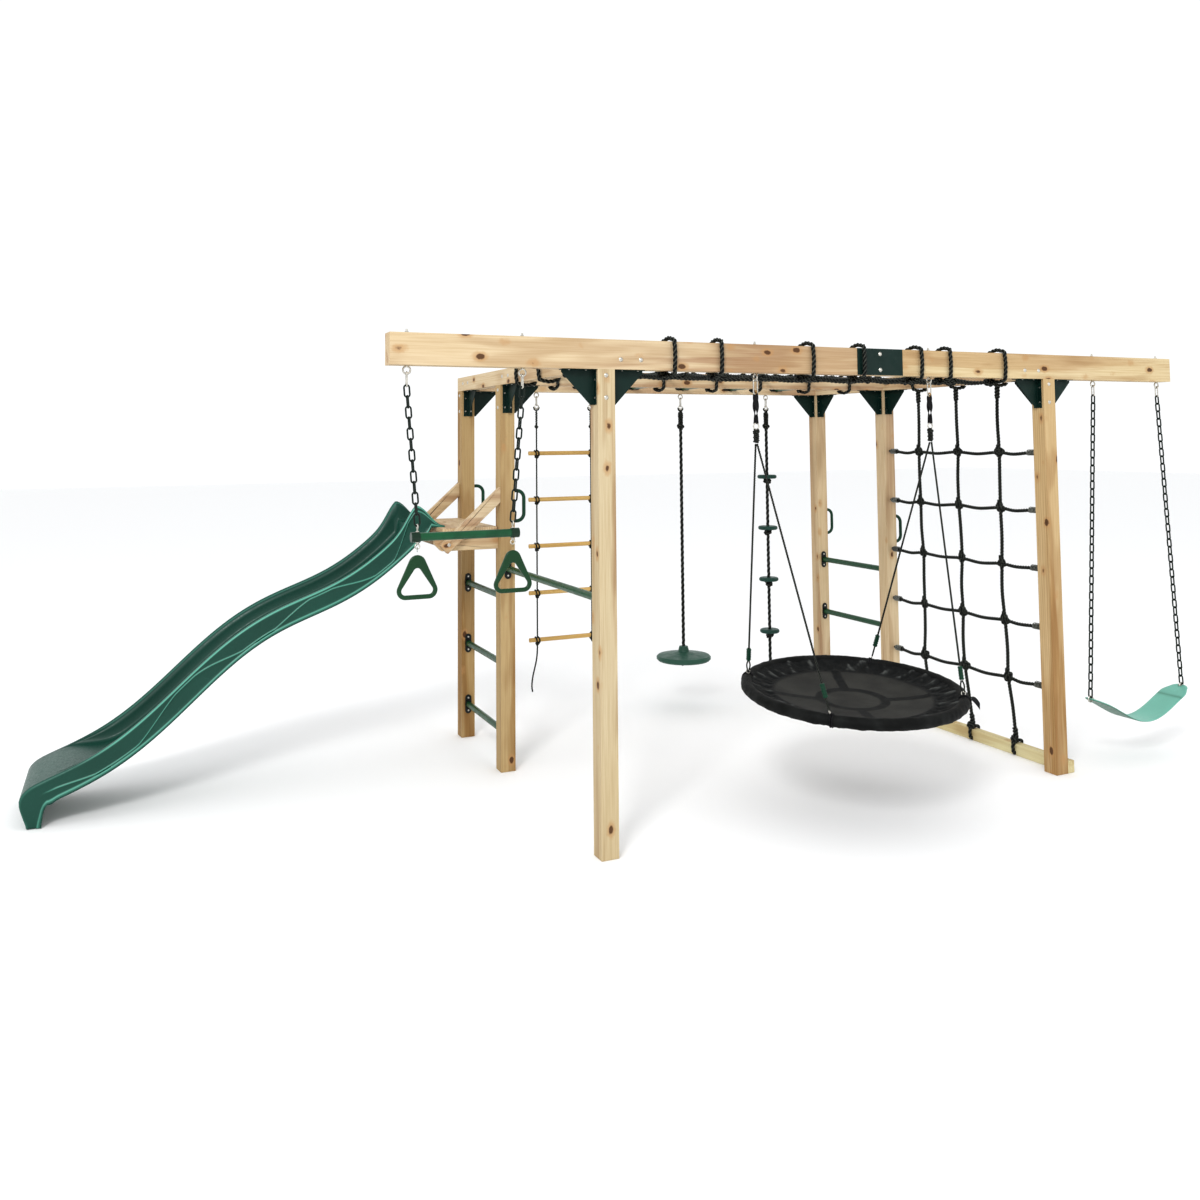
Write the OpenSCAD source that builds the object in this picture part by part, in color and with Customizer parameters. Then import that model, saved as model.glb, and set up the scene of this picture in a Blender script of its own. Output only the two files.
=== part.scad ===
// Climbing and swing set: six posts and seven beams carry monkey bars, rope nets,
// two ladders, a turning bar, a slide and six hanging toys.
// Units are millimetres, +Z is up, and the set stands on the plane z = 0.
// X runs along the front beam, and Y runs from the front beam to the back beam.

/* [Frame] */
// Side of a square post, and height of the lighter beams
post = 75; // [65:1:90]
// Height of the underside of every beam above the ground
headroom = 1910; // [1800:10:2100]
// Height of the front beam
front_beam_h = 120; // [100:5:150]
// Distance between the left and right posts, centre to centre
bay = 2400; // [2200:10:2700]
// Distance between the front and middle posts, centre to centre
swing_bay = 1200; // [1100:10:1350]
// Distance between the middle and back posts, centre to centre
bar_bay = 672; // [640:4:720]
// Front beam's reach past the centre of each end post
overhang = 870; // [820:10:950]
// Distance from the left posts' centre to the joint in the front beam
splice_at = 1364; // [1340:1:1400]
// Thickness of the ground rail under the side net
rail_t = 42; // [35:1:50]
// Height of the ground rail under the side net
rail_h = 58; // [50:1:75]

/* [Brackets and fasteners] */
// Leg length of a triangular bracket
gusset_leg = 142; // [120:1:160]
// Thickness of the bracket and splice steel
steel_t = 3; // [2:0.5:5]
// Width of a bracket's flange
flange_w = 50; // [40:1:60]
// Radius of a carriage bolt's shank
bolt_r = 4; // [3:0.5:5]
// Radius of the wire of an eye bolt
eye_wire = 3.5; // [3:0.1:4]
// Radius of an eye bolt's ring, to the middle of its wire
eye_r = 14; // [13:0.5:16]

/* [Bars and grips] */
// Outer radius of a steel rung
rung_r = 16; // [13:0.5:19]
// Wall thickness of a steel rung
rung_wall = 2; // [1.5:0.1:3]
// Number of monkey bars
bar_count = 6; // [4:1:7]
// Height of the lowest ladder rung
rung_first = 180; // [160:5:220]
// Height from one ladder rung to the next
rung_step = 332; // [300:2:350]
// Height of the turning bar
turning_z = 992; // [900:2:1100]
// Height of the left hand grips' middle
grip_left_z = 1300; // [1250:5:1350]
// Height of the right hand grips' middle
grip_right_z = 1085; // [1050:5:1150]

/* [Nets] */
// Radius of the net rope
net_r = 9; // [7:0.5:10]
// Side of a square in the nets
net_step = 300; // [280:5:320]
// Height of the lowest row of the side net
side_net_z = 400; // [380:5:420]
// Height from one row of the side net to the next
side_net_step = 287; // [270:1:300]

/* [Deck and slide] */
// Height of the deck's top above the ground
deck_z = 1200; // [1180:5:1220]
// Length of the deck's joists from the post faces
joist_len = 325; // [300:5:350]
// Height of a joist
joist_h = 90; // [80:5:100]
// Outside width of the slide
slide_w = 472; // [440:2:500]
// Slide's reach from the left posts' centre
slide_reach = 2140; // [2100:10:2200]

/* [Nest swing] */
// Radius of the hoop's centre line
hoop_r = 465; // [430:5:490]
// Radius of the padded sleeve round the hoop
sleeve_r = 24; // [20:1:28]
// Height of the hoop above the ground
hoop_z = 520; // [480:5:560]
// Forward tilt of the nest, in degrees
hoop_tilt = 4; // [0:0.5:6]
// Distance between the two hooks
nest_hooks = 955; // [900:5:1000]

/* [Trapeze] */
// Distance between the two hooks
trapeze_hooks = 456; // [440:2:480]
// Distance from the left posts to the trapeze's middle
trapeze_out = 570; // [550:5:600]
// Height of the trapeze bar
trapeze_z = 1275; // [1200:5:1350]
// Length of the trapeze bar
trapeze_len = 420; // [380:5:460]
// Outside height of a trapeze ring
ring_h = 176; // [160:2:190]

/* [Belt swing] */
// Distance between the two hooks
belt_hooks = 467; // [440:1:500]
// Distance from the right posts to the belt swing's middle
belt_out = 577; // [550:1:600]
// Span between the seat's two ends
belt_span = 664; // [620:2:700]
// Lowest point of the seat above the ground
belt_z = 190; // [170:5:260]
// Depth of the seat's sag
belt_sag = 130; // [100:5:150]
// Width of the seat, front to back
belt_w = 140; // [120:5:160]

/* [Hanging ropes] */
// Distance from the left posts to the rope ladder's middle
ladder_at = 596; // [560:2:640]
// Distance between the rope ladder's two ropes
ladder_gap = 343; // [320:1:360]
// Distance from the left posts to the disc swing's rope
disc_at = 1377; // [1340:1:1420]
// Height of the disc seat's middle
disc_z = 305; // [280:5:350]
// Radius of the disc seat
disc_r = 165; // [140:5:180]
// Distance from the left posts to the climbing rope
climb_at = 2001; // [1950:1:2050]
// Radius of a foot disc on the climbing rope
step_r = 61; // [50:1:65]

/* [Hidden] */

// Smoothness of round parts
$fn = 48;

// Half the side of a post
half = post / 2;
// Clearance round a shank in its drilled hole
drill_gap = 0.25;
// Play between a link and what it hangs on
link_gap = 0.4;
// Shorthand for the two sides of anything that is made as a pair
SIDES = [-1, 1];

// Belt swing: the seat's thickness, its bend and half its angle, its rings and eyelets
seat_t = 8;
seat_r = (pow(belt_span / 2, 2) + pow(belt_sag, 2)) / (2 * belt_sag);
seat_half = asin(belt_span / 2 / seat_r);
seat_mid_r = seat_r - seat_t / 2;
belt_ring_r = 14;
belt_ring_wire = 3.5;
eyelet_in = 13;
eyelet_turn = seat_half - eyelet_in / seat_mid_r * 180 / PI;
ring_turn = eyelet_turn + belt_ring_r / seat_mid_r * 180 / PI;
// Centre of the circle that the seat bends along, and of the ring at each end
belt_centre_z = belt_z + seat_r;
belt_ring_x = seat_mid_r * sin(ring_turn);
belt_ring_z = belt_centre_z - seat_mid_r * cos(ring_turn);

// The set is centred on its own footprint, so the posts' places follow from its reach
belt_reach = belt_out + belt_ring_x + belt_ring_r + belt_ring_wire;
nest_reach = hoop_r * cos(hoop_tilt) + sleeve_r;
x_left = (slide_reach - bay - belt_reach) / 2;
x_right = x_left + bay;
y_front = (nest_reach - swing_bay - bar_bay - disc_r) / 2;
y_mid = y_front + swing_bay;
y_back = y_mid + bar_bay;

// Centres of the hanging toys along the beams
trapeze_x = x_left - trapeze_out;
nest_x = (x_left + x_right) / 2;
belt_x = x_right + belt_out;
ladder_x = x_left + ladder_at;
disc_x = x_left + disc_at;
climb_x = x_left + climb_at;

// Height of the wire that each hook hangs on, at the bottom of an eye bolt's ring
hook_z = headroom - 0.5 - eye_wire - 2 * eye_r;
// Threaded end of an eye bolt above its beam
thread_end = 16;

// Hooks as [x, y, turn]: the ring faces along Y with turn 0 and along X with turn 90
HOOKS = concat(
  [for (s = SIDES) [trapeze_x + s * trapeze_hooks / 2, y_front, 0]],
  [for (s = SIDES) [nest_x + s * nest_hooks / 2, y_front, 90]],
  [for (s = SIDES) [belt_x + s * belt_hooks / 2, y_front, 0]],
  [for (s = SIDES) [ladder_x + s * ladder_gap / 2, y_back, 0]],
  [[disc_x, y_back, 0], [climb_x, y_back, 0]]
);

// Brackets as [x, y, heading of the bracket from its post]
GUSSETS = concat(
  [for (x = [x_left, x_right], a = [0, 90, 180]) [x, y_front, a]],
  [for (y = [y_mid, y_back]) for (b = [[x_left, 0], [x_right, 180]]) [b[0], y, b[1]]],
  [for (y = [y_mid, y_back], x = [x_left, x_right]) [x, y, 270]]
);
// Screw places along a bracket's leg, and to each side of its web
screw_along = [42, 114];
screw_side = 15;
// Wood screws: shank radius and length, head radius and height
screw_r = 2.5;
screw_len = 18;
screw_head_r = 4.6;
screw_head_h = 2.2;

// Heights of the bolts in the beams and posts, and their distances from a post's centre
beam_bolt_z = headroom + 40;
post_bolt_z = [headroom - 25, headroom - 114];
beam_bolt_at = [66, 156];
// Length of a post bolt, which ends inside the timber
post_bolt_len = 58;
// Length of the half lap under the splice plates, and of the plates
lap = 200;
splice_len = 254;
// Distance of the splice bolts from the front beam's edges
splice_bolt_in = 24;

// Flange plates: half distance of the screws, radius of the ends, thickness
plate_screw = 34;
plate_end_r = 17;
plate_t = 4;
// Length of a steel rung between its two plates
rung_len = bar_bay - post - 2 * plate_t;
// Height of the monkey bars
bar_z = headroom + half;
ladder_z = [for (i = [0 : 2]) rung_first + i * rung_step];
bar_x = [for (i = [1 : bar_count]) x_left + i * bay / (bar_count + 1)];

// Hand grips: tube radius, standoff of the tube, half height, bend and foot
grip_r = 9;
grip_out = 62;
grip_half = 76;
grip_bend = 38;
foot_t = 5;

// Net: places of the columns' ties on the front beam, which are pulled unevenly, and on
// the mid beam, and places of the rows along Y
tie_at = [295, 539, 982, 1276, 1585, 1777, 2095];
column_gap = 306.6;
column_x = [for (i = [-3 : 3]) (x_left + x_right) / 2 + i * column_gap];
row_y = [for (i = [1 : 3]) y_front + i * net_step];
row_z = [for (i = [0 : 4]) side_net_z + i * side_net_step];
// Heights of the roof net at the front beam and at the mid beam
net_front_z = headroom - 2 * net_r;
net_mid_z = headroom + post - net_r;
// Gap between a rope and the timber that it is tied to
tie_gap = 1;
knot_r = 1.7 * net_r;
// Hooks at the ends of the side net's rows: ring, wire and shank, and where the rope starts
hook_ring_r = 7;
hook_wire = 2;
hook_shank = 16;
row_in = hook_ring_r + 2 * hook_wire + 3;
splice_r = 1.35 * net_r;
splice_len_rope = 60;
// Middle of the side net's lower loops, on the ground rail
rail_x = x_right + half + rail_t / 2;

// Deck: where a strut's bolt sits, out from the post's face and below the deck's top
strut_foot = 263;
strut_foot_z = deck_z - 77;
// Deck: thickness of the boards and of the joists and struts, the ledger's distance from
// the joists' outer ends, and a strut's width
board_t = 20;
joist_t = 36;
ledger_in = 84;
strut_w = 56;
deck_board_w = 140;

// Slide: wave of the bed as a falling line plus a sine, in distance from the posts
slide_fall = 0.6515;
slide_start_z = deck_z + 267;
wave = 46.7;
wave_len = 1077;
wave_at = 1480;
// Half depth of a side wall, depth of the bed below the wall's middle, wall and skin
wall_half = 50;
bed_drop = 30;
wall_w = 40;
skin = 7;
// Start of the slide on the deck, crest of its side walls, and start of its toe
slide_in = 284;
crest_at = 430;
crest_h = 72;
toe_at = 2030;

// Depth of the notches for the net's ties in the ground rail
rail_notch = 2 * net_r + 2 * tie_gap;

// Small oval links between an eye bolt and what hangs on it: wire, arcs and straight part
link_wire = 3;
link_r = eye_wire + link_wire + link_gap;
link_drop = 40;
// Centre of the wire at the bottom of such a link
link_foot_z = hook_z - link_drop - link_r;

// Chains: wire, half width and spacing of the links, and the play between them
chain_wire = 2.4;
chain_r = 10;
chain_pitch = 39;
chain_gap = 0.2;

// Trapeze: bar, its eyes and their shanks
bar_r = 15.5;
bar_eye_r = 8.5;
bar_eye_wire = 2.5;
bar_shank_r = 3;
// Wires of the eyes that the chains and the rings hang on, above and below the bar's axis
eye_up = 46;
eye_down = 43;
trapeze_eye_x = trapeze_len / 2 - 24;
// Triangular rings: wire and arc of their own eyes, and their thickness
ring_eye_wire = 3;
ring_eye_r = bar_eye_wire + ring_eye_wire + link_gap;
ring_tube = 18;
// Rounding of a triangular ring's corners, and its lower corners' place to the side and below
ring_corner = 34;
ring_side = 44;
ring_low = ring_h - 45;

// Nest swing: carabiners in the hooks
carabiner_r = 10;
carabiner_drop = 46;
carabiner_top_z = hook_z + eye_wire + link_wire + link_gap;
carabiner_foot_z = carabiner_top_z - 2 * carabiner_r - carabiner_drop;
// Slings, their rings, and the bundled knots under them
sling_wire = 4;
sling_loop_r = link_wire + sling_wire + link_gap;
sling_drop = 125;
nest_ring_r = 13;
nest_ring_wire = 3;
sling_ring_z = carabiner_foot_z - sling_drop - sling_loop_r + sling_wire + nest_ring_wire
  + chain_gap - nest_ring_r;
bundle_h = 56;
bundle_z = sling_ring_z - nest_ring_r - nest_ring_wire - 0.5 - bundle_h;
// Ropes, the places where they are tied to the hoop, and their adjusters
nest_rope_r = 4.5;
nest_tie_x = 345;
nest_tie_y = sqrt(pow(hoop_r, 2) - pow(nest_tie_x, 2));
adjuster_up = 90;
adjuster_len = 56;
// Hoop tube, and the mat's sag and thickness
hoop_tube = 13;
mat_sag = 40;
mat_t = 6;

// Rope ladder: radii of the ropes and rungs, length and heights of the rungs
ladder_rope_r = 4.5;
rung_wood_r = 12;
rung_wood_len = 440;
rope_rung_z = [for (i = [0 : 4]) 487 + i * 267];

// Thick ropes of the disc swing and the climbing rope, and the ring they hang on
rope_r = 10;
rope_ring_r = 13;
rope_ring_wire = 3;
rope_ring_z = link_foot_z + link_wire + rope_ring_wire + link_gap - rope_ring_r;
rope_top_z = rope_ring_z - rope_ring_r - rope_ring_wire - 0.5;
step_z = [for (i = [0 : 4]) 86 + i * 325];
step_h = 24;

// Cylinder between two points, for bars and straight ropes
module rod(p, q, r) {
  along(p, q)
    cylinder(h = norm(q - p), r = r);
}

// Moves its children to p with their +Z axis pointing at q
module along(p, q) {
  v = q - p;
  translate(p)
    rotate([0, acos(v[2] / norm(v)), atan2(v[1], v[0])])
      children();
}

// Ring of round wire standing in the XZ plane
module wire_ring(ring, wire) {
  rotate([90, 0, 0])
    rotate_extrude()
      translate([ring, 0])
        circle(r = wire, $fn = 24);
}

// Upper half of such a ring
module wire_arc(ring, wire) {
  rotate([90, 0, 0])
    rotate_extrude(angle = 180)
      translate([ring, 0])
        circle(r = wire, $fn = 24);
}

// Oval link in the XZ plane, with the centre of its upper arc at the origin
module oval_link(drop, ring, wire) {
  wire_arc(ring, wire);
  translate([0, 0, -drop])
    rotate([0, 180, 0])
      wire_arc(ring, wire);
  for (s = SIDES)
    translate([s * ring, 0, -drop])
      cylinder(h = drop, r = wire, $fn = 24);
}

// Chain in the XZ plane from p, the centre of the link wire that it hangs on, to q,
// the centre of its last link's lower wire; `odd` is 1 for an odd number of links
module chain(p, q, odd) {
  v = p - q;
  count = 2 * round((norm(v) / chain_pitch - odd) / 2) + odd;
  top = link_wire + chain_wire + chain_gap;
  step = (norm(v) + top - 2 * chain_wire - chain_gap) / count;
  drop = step + 2 * chain_wire + chain_gap - 2 * chain_r;
  translate(p)
    rotate([0, atan2(v[0], v[2]), 0])
      for (i = [0 : count - 1])
        translate([0, 0, top - chain_r - i * step])
          rotate([0, 0, 90 * (i % 2)])
            oval_link(drop, chain_r, chain_wire);
}

// Domed bolt along +Y: through `grip` of timber with a washer and nut, or blind
module carriage_bolt(grip, through) {
  rotate([90, 0, 0])
    cylinder(h = 3.6, r1 = 9.5, r2 = 5.5);
  translate([0, -1, 0])
    rotate([-90, 0, 0])
      cylinder(h = 1 + (through ? grip + 10 : post_bolt_len), r = bolt_r);
  if (through) {
    translate([0, grip, 0])
      rotate([-90, 0, 0])
        cylinder(h = 1.6, r = 10);
    translate([0, grip + 1.5, 0])
      rotate([-90, 0, 0])
        cylinder(h = 6, r = 7.5, $fn = 6);
  }
}

// Puts its children at every carriage bolt, with +Y along the bolt
module at_bolts() {
  for (s = SIDES) {
    x = s < 0 ? x_left : x_right;
    // Front posts, bolted from the front
    for (z = post_bolt_z)
      translate([x, y_front - half, z])
        let ($grip = post, $through = false)
          children();
    // Front beam beside each front post
    for (a = beam_bolt_at)
      translate([x - s * a, y_front - half, beam_bolt_z])
        let ($grip = post, $through = true)
          children();
    // Side beams and their posts, bolted from the outside
    for (y = [y_mid, y_back])
      translate([x + s * half, y, 0])
        rotate([0, 0, 90 * s]) {
          for (a = beam_bolt_at)
            translate([-s * a, 0, beam_bolt_z])
              let ($grip = post, $through = true)
                children();
          for (z = post_bolt_z)
            translate([0, 0, z])
              let ($grip = post, $through = false)
                children();
        }
  }
  // Deck struts and joists, clamped together from outside
  for (g = [[y_mid - half, 0], [y_back + half, 180]])
    translate([x_left - half - strut_foot, g[0], strut_foot_z])
      rotate([0, 0, g[1]])
        let ($grip = half + joist_t, $through = true)
          children();
  // Splice plates, clamped on both faces of the front beam
  for (z = [splice_bolt_in, front_beam_h - splice_bolt_in])
    translate([x_left + splice_at, y_front - half - steel_t, headroom + z])
      let ($grip = post + 2 * steel_t, $through = true)
        children();
}

// Wood screw with its head below the plane z = 0 and its shank above
module wood_screw() {
  translate([0, 0, -screw_head_h])
    cylinder(h = screw_head_h, r = screw_head_r, $fn = 24);
  translate([0, 0, -1])
    cylinder(h = screw_len + 1, r = screw_r, $fn = 24);
}

// Puts its children at every bracket, with the post's face at x = 0 and the beam's
// underside at z = 0
module at_gussets() {
  for (g = GUSSETS)
    translate([g[0], g[1], headroom])
      rotate([0, 0, g[2]])
        translate([half, 0, 0])
          children();
}

// Puts its children at every bracket screw, with +Z going into the timber
module at_gusset_screws() {
  at_gussets()
    for (a = screw_along, s = SIDES) {
      translate([steel_t, s * screw_side, -a])
        rotate([0, -90, 0])
          children();
      translate([a, s * screw_side, -steel_t])
        children();
    }
}

// Puts its children at every flange plate: +Z is along the bar, away from the timber,
// and X is along the plate
module at_plates() {
  for (x = bar_x) {
    translate([x, y_mid + half, bar_z])
      rotate([-90, 0, 0])
        children();
    translate([x, y_back - half, bar_z])
      rotate([90, 0, 0])
        children();
  }
  for (x = [x_left, x_right], z = ladder_z) {
    translate([x, y_mid + half, z])
      rotate([-90, 90, 0])
        children();
    translate([x, y_back - half, z])
      rotate([90, 90, 0])
        children();
  }
  translate([x_left, y_front + half, turning_z])
    rotate([-90, 90, 0])
      children();
  translate([x_left, y_mid - half, turning_z])
    rotate([90, 90, 0])
      children();
}

// Puts its children at every flange plate screw, with +Z going into the timber
module at_plate_screws() {
  at_plates()
    for (s = SIDES)
      translate([s * plate_screw, 0, plate_t])
        rotate([180, 0, 0])
          children();
}

// Every hole that is drilled in the timber
module drillings() {
  at_bolts()
    translate([0, -1, 0])
      rotate([-90, 0, 0])
        cylinder(h = 1 + ($through ? $grip + 1 : post_bolt_len + 1), r = bolt_r + drill_gap);
  at_gusset_screws()
    translate([0, 0, -1])
      cylinder(h = screw_len + 2, r = screw_r + drill_gap, $fn = 24);
  at_plate_screws()
    translate([0, 0, -1])
      cylinder(h = screw_len + 2, r = screw_r + drill_gap, $fn = 24);
  for (h = HOOKS)
    translate([h[0], h[1], headroom - 1])
      cylinder(h = front_beam_h + 2, r = bolt_r + drill_gap);
  at_net_hooks()
    translate([0, -1, 0])
      rotate([-90, 0, 0])
        cylinder(h = hook_shank, r = hook_wire + drill_gap, $fn = 24);
}

// Drilled length of timber from its lowest corner
module timber(p, size) {
  color("burlywood")
    difference() {
      translate(p)
        cube(size);
      drillings();
    }
}

module post_at(x, y) {
  timber([x - half, y - half, 0], [post, post, headroom]);
}

module post_front_left() {
  post_at(x_left, y_front);
}

module post_front_right() {
  post_at(x_right, y_front);
}

module post_mid_left() {
  post_at(x_left, y_mid);
}

module post_mid_right() {
  post_at(x_right, y_mid);
}

module post_back_left() {
  post_at(x_left, y_back);
}

module post_back_right() {
  post_at(x_right, y_back);
}

// Front beam in two lengths, half lapped: the left one keeps its front half in the lap
module front_beam(from_x, to_x, lap_x, keep_front) {
  difference() {
    timber([from_x, y_front - half, headroom], [to_x - from_x, post, front_beam_h]);
    translate([lap_x - lap / 2, keep_front ? y_front : y_front - post, headroom - 1])
      cube([lap, post, front_beam_h + 2]);
  }
}

module front_beam_left() {
  lap_x = x_left + splice_at;
  front_beam(x_left - overhang, lap_x + lap / 2, lap_x, true);
}

module front_beam_right() {
  lap_x = x_left + splice_at;
  front_beam(lap_x - lap / 2, x_right + overhang, lap_x, false);
}

module side_beam(x) {
  timber([x - half, y_front + half, headroom], [post, y_back - y_front, post]);
}

module side_beam_left() {
  side_beam(x_left);
}

module side_beam_right() {
  side_beam(x_right);
}

module cross_beam(y) {
  timber([x_left + half, y - half, headroom], [bay - post, post, post]);
}

module mid_beam() {
  cross_beam(y_mid);
}

module back_beam() {
  cross_beam(y_back);
}

// Rail on the ground, notched underneath for the net's ties
module ground_rail() {
  difference() {
    timber([x_right + half, y_front - half, 0], [rail_t, swing_bay + post, rail_h]);
    for (y = row_y)
      translate([rail_x - rail_t, y - rail_notch / 2, -1])
        cube([2 * rail_t, rail_notch, rail_notch + 1]);
  }
}

// Triangular bracket with its flanges drilled for the screws
module gussets() {
  color("darkgreen")
    at_gussets()
      difference() {
        union() {
          translate([0, steel_t / 2, 0])
            rotate([90, 0, 0])
              linear_extrude(steel_t)
                polygon([
                  [0, 0], [gusset_leg, 0], [gusset_leg, -12], [18, -gusset_leg], [0, -gusset_leg]
                ]);
          translate([0, -flange_w / 2, -gusset_leg])
            cube([steel_t, flange_w, gusset_leg]);
          translate([0, -flange_w / 2, -steel_t])
            cube([gusset_leg, flange_w, steel_t]);
        }
        for (a = screw_along, s = SIDES) {
          translate([-1, s * screw_side, -a])
            rotate([0, 90, 0])
              cylinder(h = steel_t + 2, r = screw_r + drill_gap, $fn = 24);
          translate([a, s * screw_side, -steel_t - 1])
            cylinder(h = steel_t + 2, r = screw_r + drill_gap, $fn = 24);
        }
      }
}

module wood_screws() {
  color("silver") {
    at_gusset_screws()
      wood_screw();
    at_plate_screws()
      wood_screw();
  }
}

module carriage_bolts() {
  color("silver")
    at_bolts()
      carriage_bolt($grip, $through);
}

module splice_plates() {
  color("darkgreen")
    for (y = [y_front - half - steel_t, y_front + half])
      difference() {
        translate([x_left + splice_at - splice_len / 2, y, headroom])
          cube([splice_len, steel_t, front_beam_h]);
        for (z = [splice_bolt_in, front_beam_h - splice_bolt_in])
          translate([x_left + splice_at, y - 1, headroom + z])
            rotate([-90, 0, 0])
              cylinder(h = steel_t + 2, r = bolt_r + drill_gap);
      }
}

// Eye bolts through the beams, each with a washer and a nut on top
module eye_bolts() {
  color("silver")
    for (h = HOOKS) {
      top = headroom + (h[1] == y_front ? front_beam_h : post);
      translate([h[0], h[1], hook_z + eye_r])
        rotate([0, 0, h[2]])
          wire_ring(eye_r, eye_wire);
      translate([h[0], h[1], hook_z + 2 * eye_r])
        cylinder(h = top + thread_end - hook_z - 2 * eye_r, r = bolt_r);
      translate([h[0], h[1], top])
        cylinder(h = 1.6, r = 10);
      translate([h[0], h[1], top + 1.5])
        cylinder(h = 6, r = 7.5, $fn = 6);
    }
}

// Steel tube along Y from a plate's face
module rung(x, y, z, length) {
  translate([x, y, z])
    rotate([-90, 0, 0])
      difference() {
        cylinder(h = length, r = rung_r);
        translate([0, 0, -1])
          cylinder(h = length + 2, r = rung_r - rung_wall);
      }
}

module monkey_bars() {
  color("seagreen")
    for (x = bar_x)
      rung(x, y_mid + half + plate_t, bar_z, rung_len);
}

module ladder_rungs() {
  color("seagreen")
    for (x = [x_left, x_right], z = ladder_z)
      rung(x, y_mid + half + plate_t, z, rung_len);
}

module turning_bar() {
  color("seagreen")
    rung(x_left, y_front + half + plate_t, turning_z, swing_bay - post - 2 * plate_t);
}

// Long plates with round ends, and a low collar round each bar
module bar_flanges() {
  color("black")
    at_plates() {
      difference() {
        union() {
          translate([-plate_screw, -plate_end_r, 0])
            cube([2 * plate_screw, 2 * plate_end_r, plate_t]);
          for (s = SIDES)
            translate([s * plate_screw, 0, 0])
              cylinder(h = plate_t, r = plate_end_r);
        }
        for (s = SIDES)
          translate([s * plate_screw, 0, -1])
            cylinder(h = plate_t + 2, r = screw_r + drill_gap, $fn = 24);
      }
      translate([0, 0, plate_t])
        difference() {
          cylinder(h = 9, r = rung_r + 3.5);
          translate([0, 0, -1])
            cylinder(h = 11, r = rung_r + drill_gap);
        }
    }
}

// Puts its children on the outer face of each post that carries a hand grip
module at_grips() {
  for (y = [y_mid, y_back])
    for (g = [[x_left, grip_left_z], [x_right, grip_right_z]])
      translate([g[0] + half, y, g[1]])
        children();
}

// D-shaped hand grips on two round feet
module hand_grips() {
  color("darkgreen")
    at_grips() {
      translate([grip_out, 0, grip_bend - grip_half])
        cylinder(h = 2 * (grip_half - grip_bend), r = grip_r);
      for (s = SIDES) {
        translate([grip_out - grip_bend, 0, s * (grip_half - grip_bend)])
          rotate([90, s < 0 ? 90 : 0, 0])
            rotate_extrude(angle = 90)
              translate([grip_bend, 0])
                circle(r = grip_r, $fn = 24);
        translate([foot_t - 1, 0, s * grip_half])
          rotate([0, 90, 0])
            cylinder(h = grip_out - grip_bend - foot_t + 1, r = grip_r);
        translate([0, 0, s * grip_half])
          rotate([0, 90, 0])
            cylinder(h = foot_t, r = 20);
      }
    }
}

// Deck: two joists and a ledger between them, standing against the left posts
module deck_joists() {
  low = deck_z - board_t - joist_h;
  out = x_left - half - joist_len;
  color("tan")
    difference() {
      for (y = [y_mid, y_back - joist_t])
        translate([out, y, low])
          difference() {
            cube([joist_len, joist_t, joist_h]);
            rotate([0, 45, 0])
              cube([50, 3 * joist_t, 50], center = true);
          }
      drillings();
    }
  color("tan")
    translate([out + ledger_in, y_mid + joist_t, low])
      cube([joist_t, bar_bay - 2 * joist_t, joist_h]);
}

// Deck boards laid across the joists
module deck_boards() {
  color("tan")
    for (i = [0, 1])
      translate([x_left - half - 3 - (i + 1) * deck_board_w - i * 4, y_mid, deck_z - board_t])
        cube([deck_board_w, bar_bay, board_t]);
}

// Slanting struts from the posts down to the joists' outer ends
module deck_struts() {
  rise = deck_z + 160 - strut_foot_z;
  slope = atan2(rise, strut_foot);
  color("tan")
    difference() {
      for (y = [y_mid - half, y_back + half - joist_t])
        translate([x_left - half, y, 0])
          difference() {
            translate([-strut_foot, 0, strut_foot_z])
              rotate([0, -slope, 0])
                translate([-34, 0, -strut_w / 2])
                  cube([strut_foot / cos(slope) + 90, joist_t, strut_w]);
            translate([0, -1, deck_z - 200])
              cube([200, joist_t + 2, 600]);
          }
      drillings();
    }
}

// Height of the middle of the slide's side wall, at distance u from the posts
function spine_z(u) =
  slide_start_z - slide_fall * u - wave * sin(360 * (u - wave_at) / wave_len);

// Vertical height that stands for a thickness t square to the wall
function upright(u, t) =
  t * norm([1, slide_fall + wave * 2 * PI / wave_len * cos(360 * (u - wave_at) / wave_len)]);

// Top and bottom edges of the side wall, and the sliding surface
function crest(u) = crest_h * exp(-pow((u - crest_at) / 62, 2));
function wall_top(u) = spine_z(u) + upright(u, wall_half) + crest(u);
function wall_foot(u) = spine_z(u) - upright(u, wall_half);
function bed(u) = min(deck_z + 6, spine_z(u) - upright(u, bed_drop));

// Distances from the posts at which the slide's outline has a point
function reaches(a, b, n) = [for (i = [0 : n]) a + (b - a) * i / n];

// Side outline of the slide, with the distance from the posts along X
module slide_outline() {
  head = wall_top(crest_at);
  lip_z = deck_z + 6;
  polygon(concat(
    [for (u = reaches(slide_in, crest_at - 10, 8))
      [u, lip_z + (head - lip_z) * (1 - cos(180 * (u - slide_in) / (crest_at - slide_in))) / 2]],
    [for (u = reaches(crest_at, toe_at, 48)) [u, wall_top(u)]],
    [[2070, 180], [2110, 176], [2132, 167], [slide_reach, 148], [2124, 90], [2104, 30], [2104, 0]],
    [[2046, 0], [2046, 30], [2036, 84], [2016, 104]],
    [for (u = reaches(1990, 376, 48)) [u, wall_foot(u)]],
    [[368, deck_z], [slide_in, deck_z]]
  ));
}

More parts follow.
